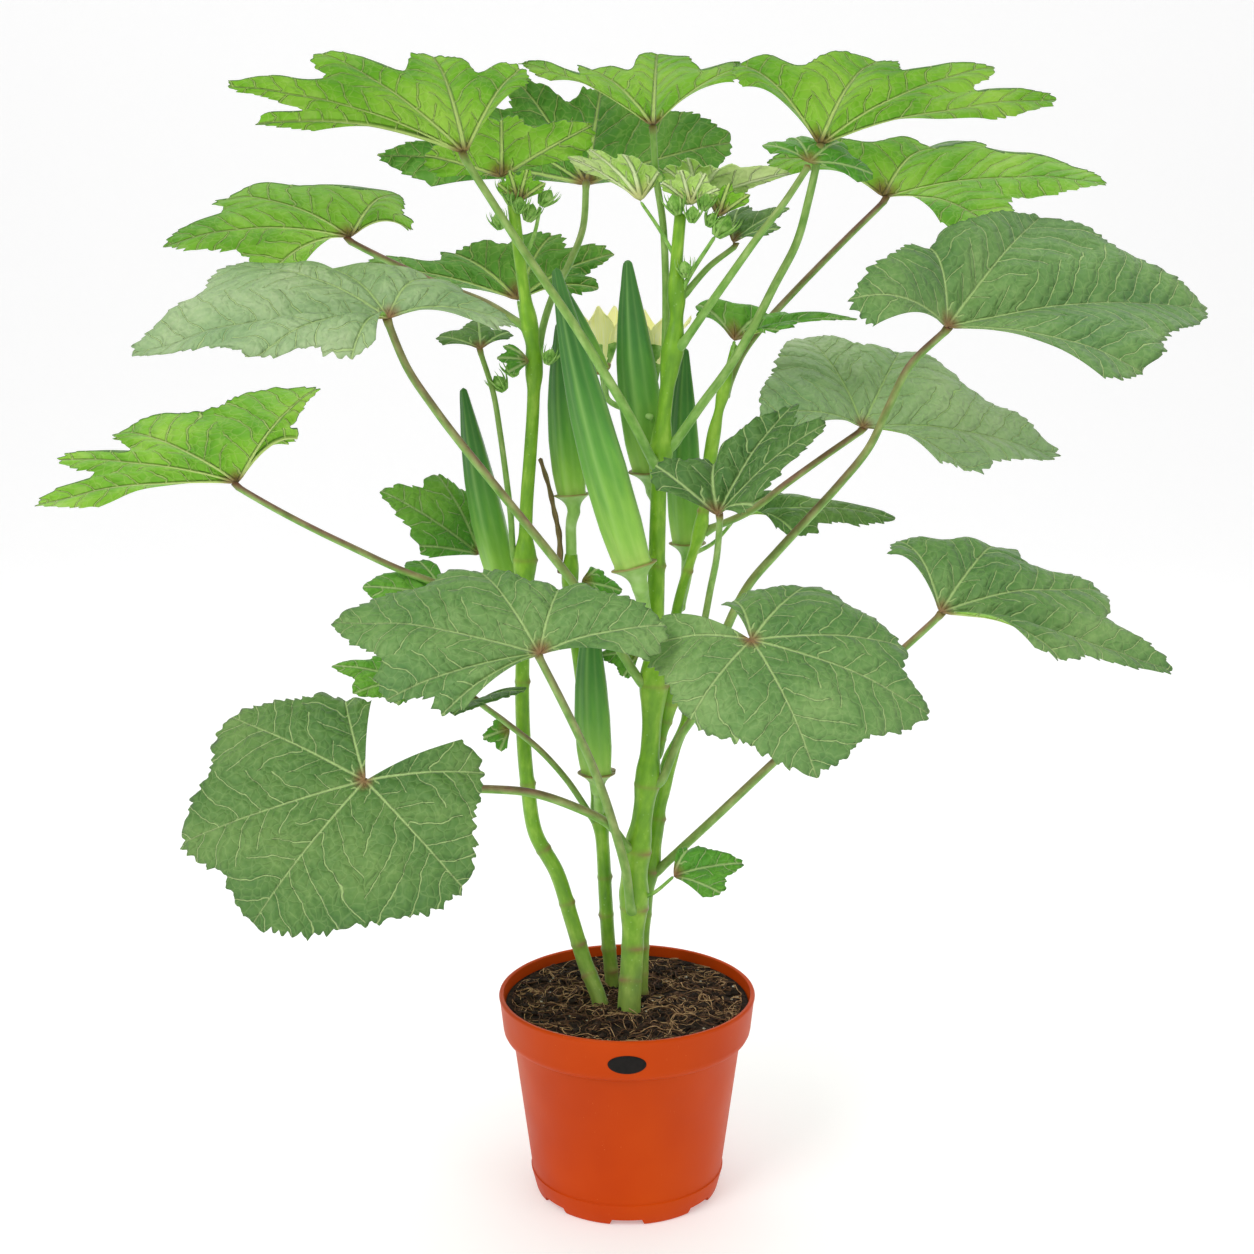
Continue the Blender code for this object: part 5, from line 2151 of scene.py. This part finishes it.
@dataclass
class NurseryPot:
    """The moulded pot: a rolled rim band, a tapered wall and a notched foot."""

    band_mm: float = 21.0
    body_top_mm: float = 62.5
    body_foot_mm: float = 52.5
    foot_top_mm: float = 13.0
    foot_mm: float = 50.0
    wall_mm: float = 1.6
    floor_mm: float = 5.0
    under_mm: float = 3.0
    notches: int = 7
    notch_wide_mm: float = 16.0
    notch_tall_mm: float = 3.4
    drain_mm: float = 4.0
    drain_ring_mm: float = 32.0
    drains: int = 6

    def __post_init__(self) -> None:
        """Read the rim's radius and height from the CAD node."""
        low, high = map(np.array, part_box("pot"))
        self.rim = float(high[0] - low[0]) / 2
        self.height = float(high[2])

    def profile(self) -> list[tuple[float, float]]:
        """Draw the section from under the floor, up the outside and down the inside.

        Returns:
            The radius and the height of each corner.
        """
        rim, top = self.rim / MM, self.height / MM
        band = top - self.band_mm
        foot, body = self.foot_mm, self.body_foot_mm
        corners = [
            (0.0, self.under_mm), (foot - 4.0, self.under_mm), (foot - 3.4, 0.0), (foot - 0.9, 0.0),
            (foot + 0.1, 0.5), (foot + 0.6, 1.6), (body + 0.7, self.foot_top_mm - 1.2),
            (body + 0.8, self.foot_top_mm - 0.5), (body + 0.2, self.foot_top_mm),
            (self.body_top_mm, band - 3.2), (self.body_top_mm + 0.4, band - 2.7), (rim - 4.8, band - 2.4),
            (rim - 3.4, band - 1.4), (rim - 2.5, band + 0.4), (rim - 2.15, band + 2.2),
            (rim - 0.45, top - 3.0), (rim - 0.1, top - 1.9), (rim, top - 1.2), (rim - 0.25, top - 0.45),
            (rim - 0.8, top), (rim - 1.9, top), (rim - 2.45, top - 0.4), (rim - 2.6, top - 1.2),
            (rim - 5.0, band + 2.4), (rim - 5.4, band + 1.6),
            (self.body_top_mm - self.wall_mm, band - 5.0),
            (body - self.wall_mm - 1.0, self.floor_mm + 0.8), (body - self.wall_mm - 2.0, self.floor_mm),
            (0.0, self.floor_mm)]
        return [(r * MM, z * MM) for r, z in corners]

    def cutter(self, turn: float) -> Thing:
        """Make a wedge that cuts one notch in the foot.

        Args:
            turn: the notch's place round the pot.

        Returns:
            The wedge.
        """
        bpy.ops.object.select_all(action="DESELECT")
        bpy.ops.mesh.primitive_cube_add(size=1.0)
        wedge = bpy.context.object
        wedge.scale = (12 * MM, self.notch_wide_mm * MM, 2 * self.notch_tall_mm * MM)
        bpy.ops.object.transform_apply(location=False, rotation=False, scale=True)
        for vert in wedge.data.vertices:
            if vert.co.z < 0:
                vert.co.y *= 1.35
            vert.co.x += (self.foot_mm + 0.5) * MM
        wedge.rotation_euler.z = turn
        bpy.ops.object.transform_apply(location=False, rotation=True, scale=False)
        return wedge

    def drain(self, turn: float) -> Thing:
        """Make a round pin that cuts one drain hole in the floor.

        Args:
            turn: the hole's place round the pot.

        Returns:
            The pin.
        """
        bpy.ops.object.select_all(action="DESELECT")
        spot = (self.drain_ring_mm * MM * math.cos(turn), self.drain_ring_mm * MM * math.sin(turn),
                self.floor_mm * MM)
        bpy.ops.mesh.primitive_cylinder_add(vertices=40, radius=self.drain_mm * MM, depth=20 * MM,
                                            location=spot)
        pin = bpy.context.object
        bpy.ops.object.transform_apply(location=True, rotation=False, scale=False)
        return pin

    def build_shell(self) -> Thing:
        """Turn the profile round the pot's axis, then cut the notches and the drain holes.

        Returns:
            The pot without its finish.
        """
        corners = self.profile()
        bpy.ops.object.select_all(action="DESELECT")
        mesh = bpy.data.meshes.new("okra_nursery_pot")
        mesh.from_pydata([(r, 0, z) for r, z in corners], [(i, i + 1) for i in range(len(corners) - 1)],
                         [])
        shell = bpy.data.objects.new("okra_nursery_pot", mesh)
        bpy.context.scene.collection.objects.link(shell)
        turn = partial(bpy.ops.mesh.spin, steps=192, angle=math.tau, center=(0, 0, 0), axis=(0, 0, 1))
        edit_all(shell, turn, partial(bpy.ops.mesh.remove_doubles, threshold=1e-5),
                 partial(bpy.ops.mesh.normals_make_consistent, inside=False))
        cutters = [self.cutter(-math.pi / 2 + math.tau * i / self.notches) for i in range(self.notches)]
        cutters += [self.drain(math.tau * (i + 0.5) / self.drains) for i in range(self.drains)]
        for cutter in cutters:
            apply_modifier(shell, "BOOLEAN", object=cutter, operation="DIFFERENCE", solver="EXACT")
            bpy.data.objects.remove(cutter, do_unlink=True)
        select_only(shell)
        bpy.ops.object.shade_smooth_by_angle(angle=math.radians(38))
        return shell

    def build_badge(self) -> None:
        """Build the blank oval badge on the front of the rim band."""
        middle = self.height - self.band_mm * 0.62 * MM
        wide, tall, thick = 10.0 * MM, 5.2 * MM, 0.25 * MM
        columns, rows = 48, 8
        angle = np.linspace(0, math.tau, columns + 1)[None, :]
        share = np.concatenate([np.linspace(0, 1, rows), [1.0]])[:, None]
        x = wide * share * np.cos(angle)
        z = middle + tall * share * np.sin(angle)
        lean = (self.rim / MM - 2.15 + (z / MM - (self.height / MM - self.band_mm + 2.2)) * 0.105) * MM
        lift = np.where(np.arange(rows + 1)[:, None] == rows, -0.05 * MM, thick)
        depth = np.sqrt(np.maximum(lean ** 2 - x ** 2, 0)) + lift
        points = np.stack([x + 0 * depth, -depth, z + 0 * depth], axis=2)
        points[:, -1] = points[:, 0]
        points[0] = points[0].mean(axis=0)
        sheet = add_sheet("okra_pot_badge", columns, rows)
        lay_sheet(sheet, points)
        sheet.data.materials.append(BadgeVinyl().build())
        close_up(sheet, outside=False)
        face_towards(sheet, (0.0, -1.0, 0.0))
        set_in_place(sheet)

    def build(self) -> None:
        """Build the pot and its badge."""
        shell = self.build_shell()
        shell.data.materials.clear()
        shell.data.materials.append(NurseryPlastic(0.0, self.height).build())
        set_in_place(shell, ["pot"])
        self.build_badge()


# ---- studio

@dataclass
class Studio:
    """A pale sweep of floor, soft lights and the camera."""

    camera_at: tuple[float, float, float] = (0.0, -0.972, 0.510)
    camera_tilt: float = 11.3
    lens_mm: float = 54.0

    def build_floor(self) -> None:
        """Build the floor, which sweeps up into the backdrop."""
        rows = 40
        run = np.linspace(0, 1, rows + 1)
        turn = np.clip((run - 0.45) / 0.25, 0, 1) * math.pi / 2
        y = np.where(run < 0.45, -3.0 + run / 0.45 * 5.0, 2.0 + 1.2 * np.sin(turn))
        z = np.where(run < 0.45, 0.0, 1.2 * (1 - np.cos(turn)))
        z = z + np.clip((run - 0.7) / 0.3, 0, 1) * 3.0
        x = np.linspace(-4, 4, 9)[None, :] + 0 * run[:, None]
        points = np.stack([x, y[:, None] + 0 * x, z[:, None] + 0 * x], axis=2)
        sheet = add_sheet("studio_floor", 8, rows)
        lay_sheet(sheet, points)
        select_only(sheet)
        bpy.ops.object.shade_smooth()
        g = Graph("pale_studio_floor")
        sheet.data.materials.append(g.finish(Base_Color=linear("e8e8e8"), Roughness=0.9,
                                             Specular_IOR_Level=0.1, Emission_Strength=0.3,
                                             Emission_Color=linear("ffffff")))

    def add_light(self, name: str, spot: Sequence[float], size: float, power: float) -> None:
        """Add a square soft light that points at the plant's middle.

        Args:
            name: the light's name.
            spot: where it stands.
            size: its width.
            power: its watts.
        """
        data = bpy.data.lights.new(name, "AREA")
        data.size = size
        data.energy = power
        lamp = bpy.data.objects.new(name, data)
        lamp.location = spot
        aim = Vector((0, 0, 0.3)) - Vector(spot)
        lamp.rotation_euler = aim.to_track_quat("-Z", "Y").to_euler()
        bpy.context.scene.collection.objects.link(lamp)

    def build(self) -> None:
        """Build the floor, lights, sky and camera."""
        self.build_floor()
        self.add_light("key_light", (-1.2, -1.5, 1.9), 1.0, 23.0)
        self.add_light("fill_light", (1.6, -1.2, 1.2), 1.6, 5.0)
        self.add_light("top_light", (0.2, 0.5, 2.2), 1.4, 11.0)
        world = bpy.data.worlds.new("studio_sky")
        bpy.context.scene.world = world
        world.use_nodes = True
        sky = world.node_tree.nodes["Background"]
        sky.inputs["Color"].default_value = (1.0, 1.0, 1.0, 1.0)
        sky.inputs["Strength"].default_value = 0.62
        bpy.context.scene.view_settings.view_transform = "Standard"
        data = bpy.data.cameras.new("camera")
        data.lens = self.lens_mm
        data.sensor_width = 36.0
        camera = bpy.data.objects.new("camera", data)
        camera.location = self.camera_at
        camera.rotation_euler = (math.radians(90 - self.camera_tilt), 0, 0)
        bpy.context.scene.collection.objects.link(camera)
        bpy.context.scene.camera = camera


# ---- putting it together

def main() -> None:
    """Build every part of the plant in order."""
    logging.basicConfig(level=logging.INFO, format="%(name)s %(message)s")
    Studio().build()
    NurseryPot().build()
    bed = SoilBed()
    bed.build()
    skeleton = Skeleton.from_frame()
    Stems(bed.edge, skeleton).build()
    Stalks(skeleton).build()
    pod_skin = PodSkin().build()
    collar_skin = CalyxSkin().build()
    for node in sorted(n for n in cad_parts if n.startswith("pod_")):
        Pod(node, skeleton).build(pod_skin, collar_skin)
    Leaves().build()
    Flowers().build()
    GrowingTips(skeleton).build()


if __name__ == "__main__":
    main()
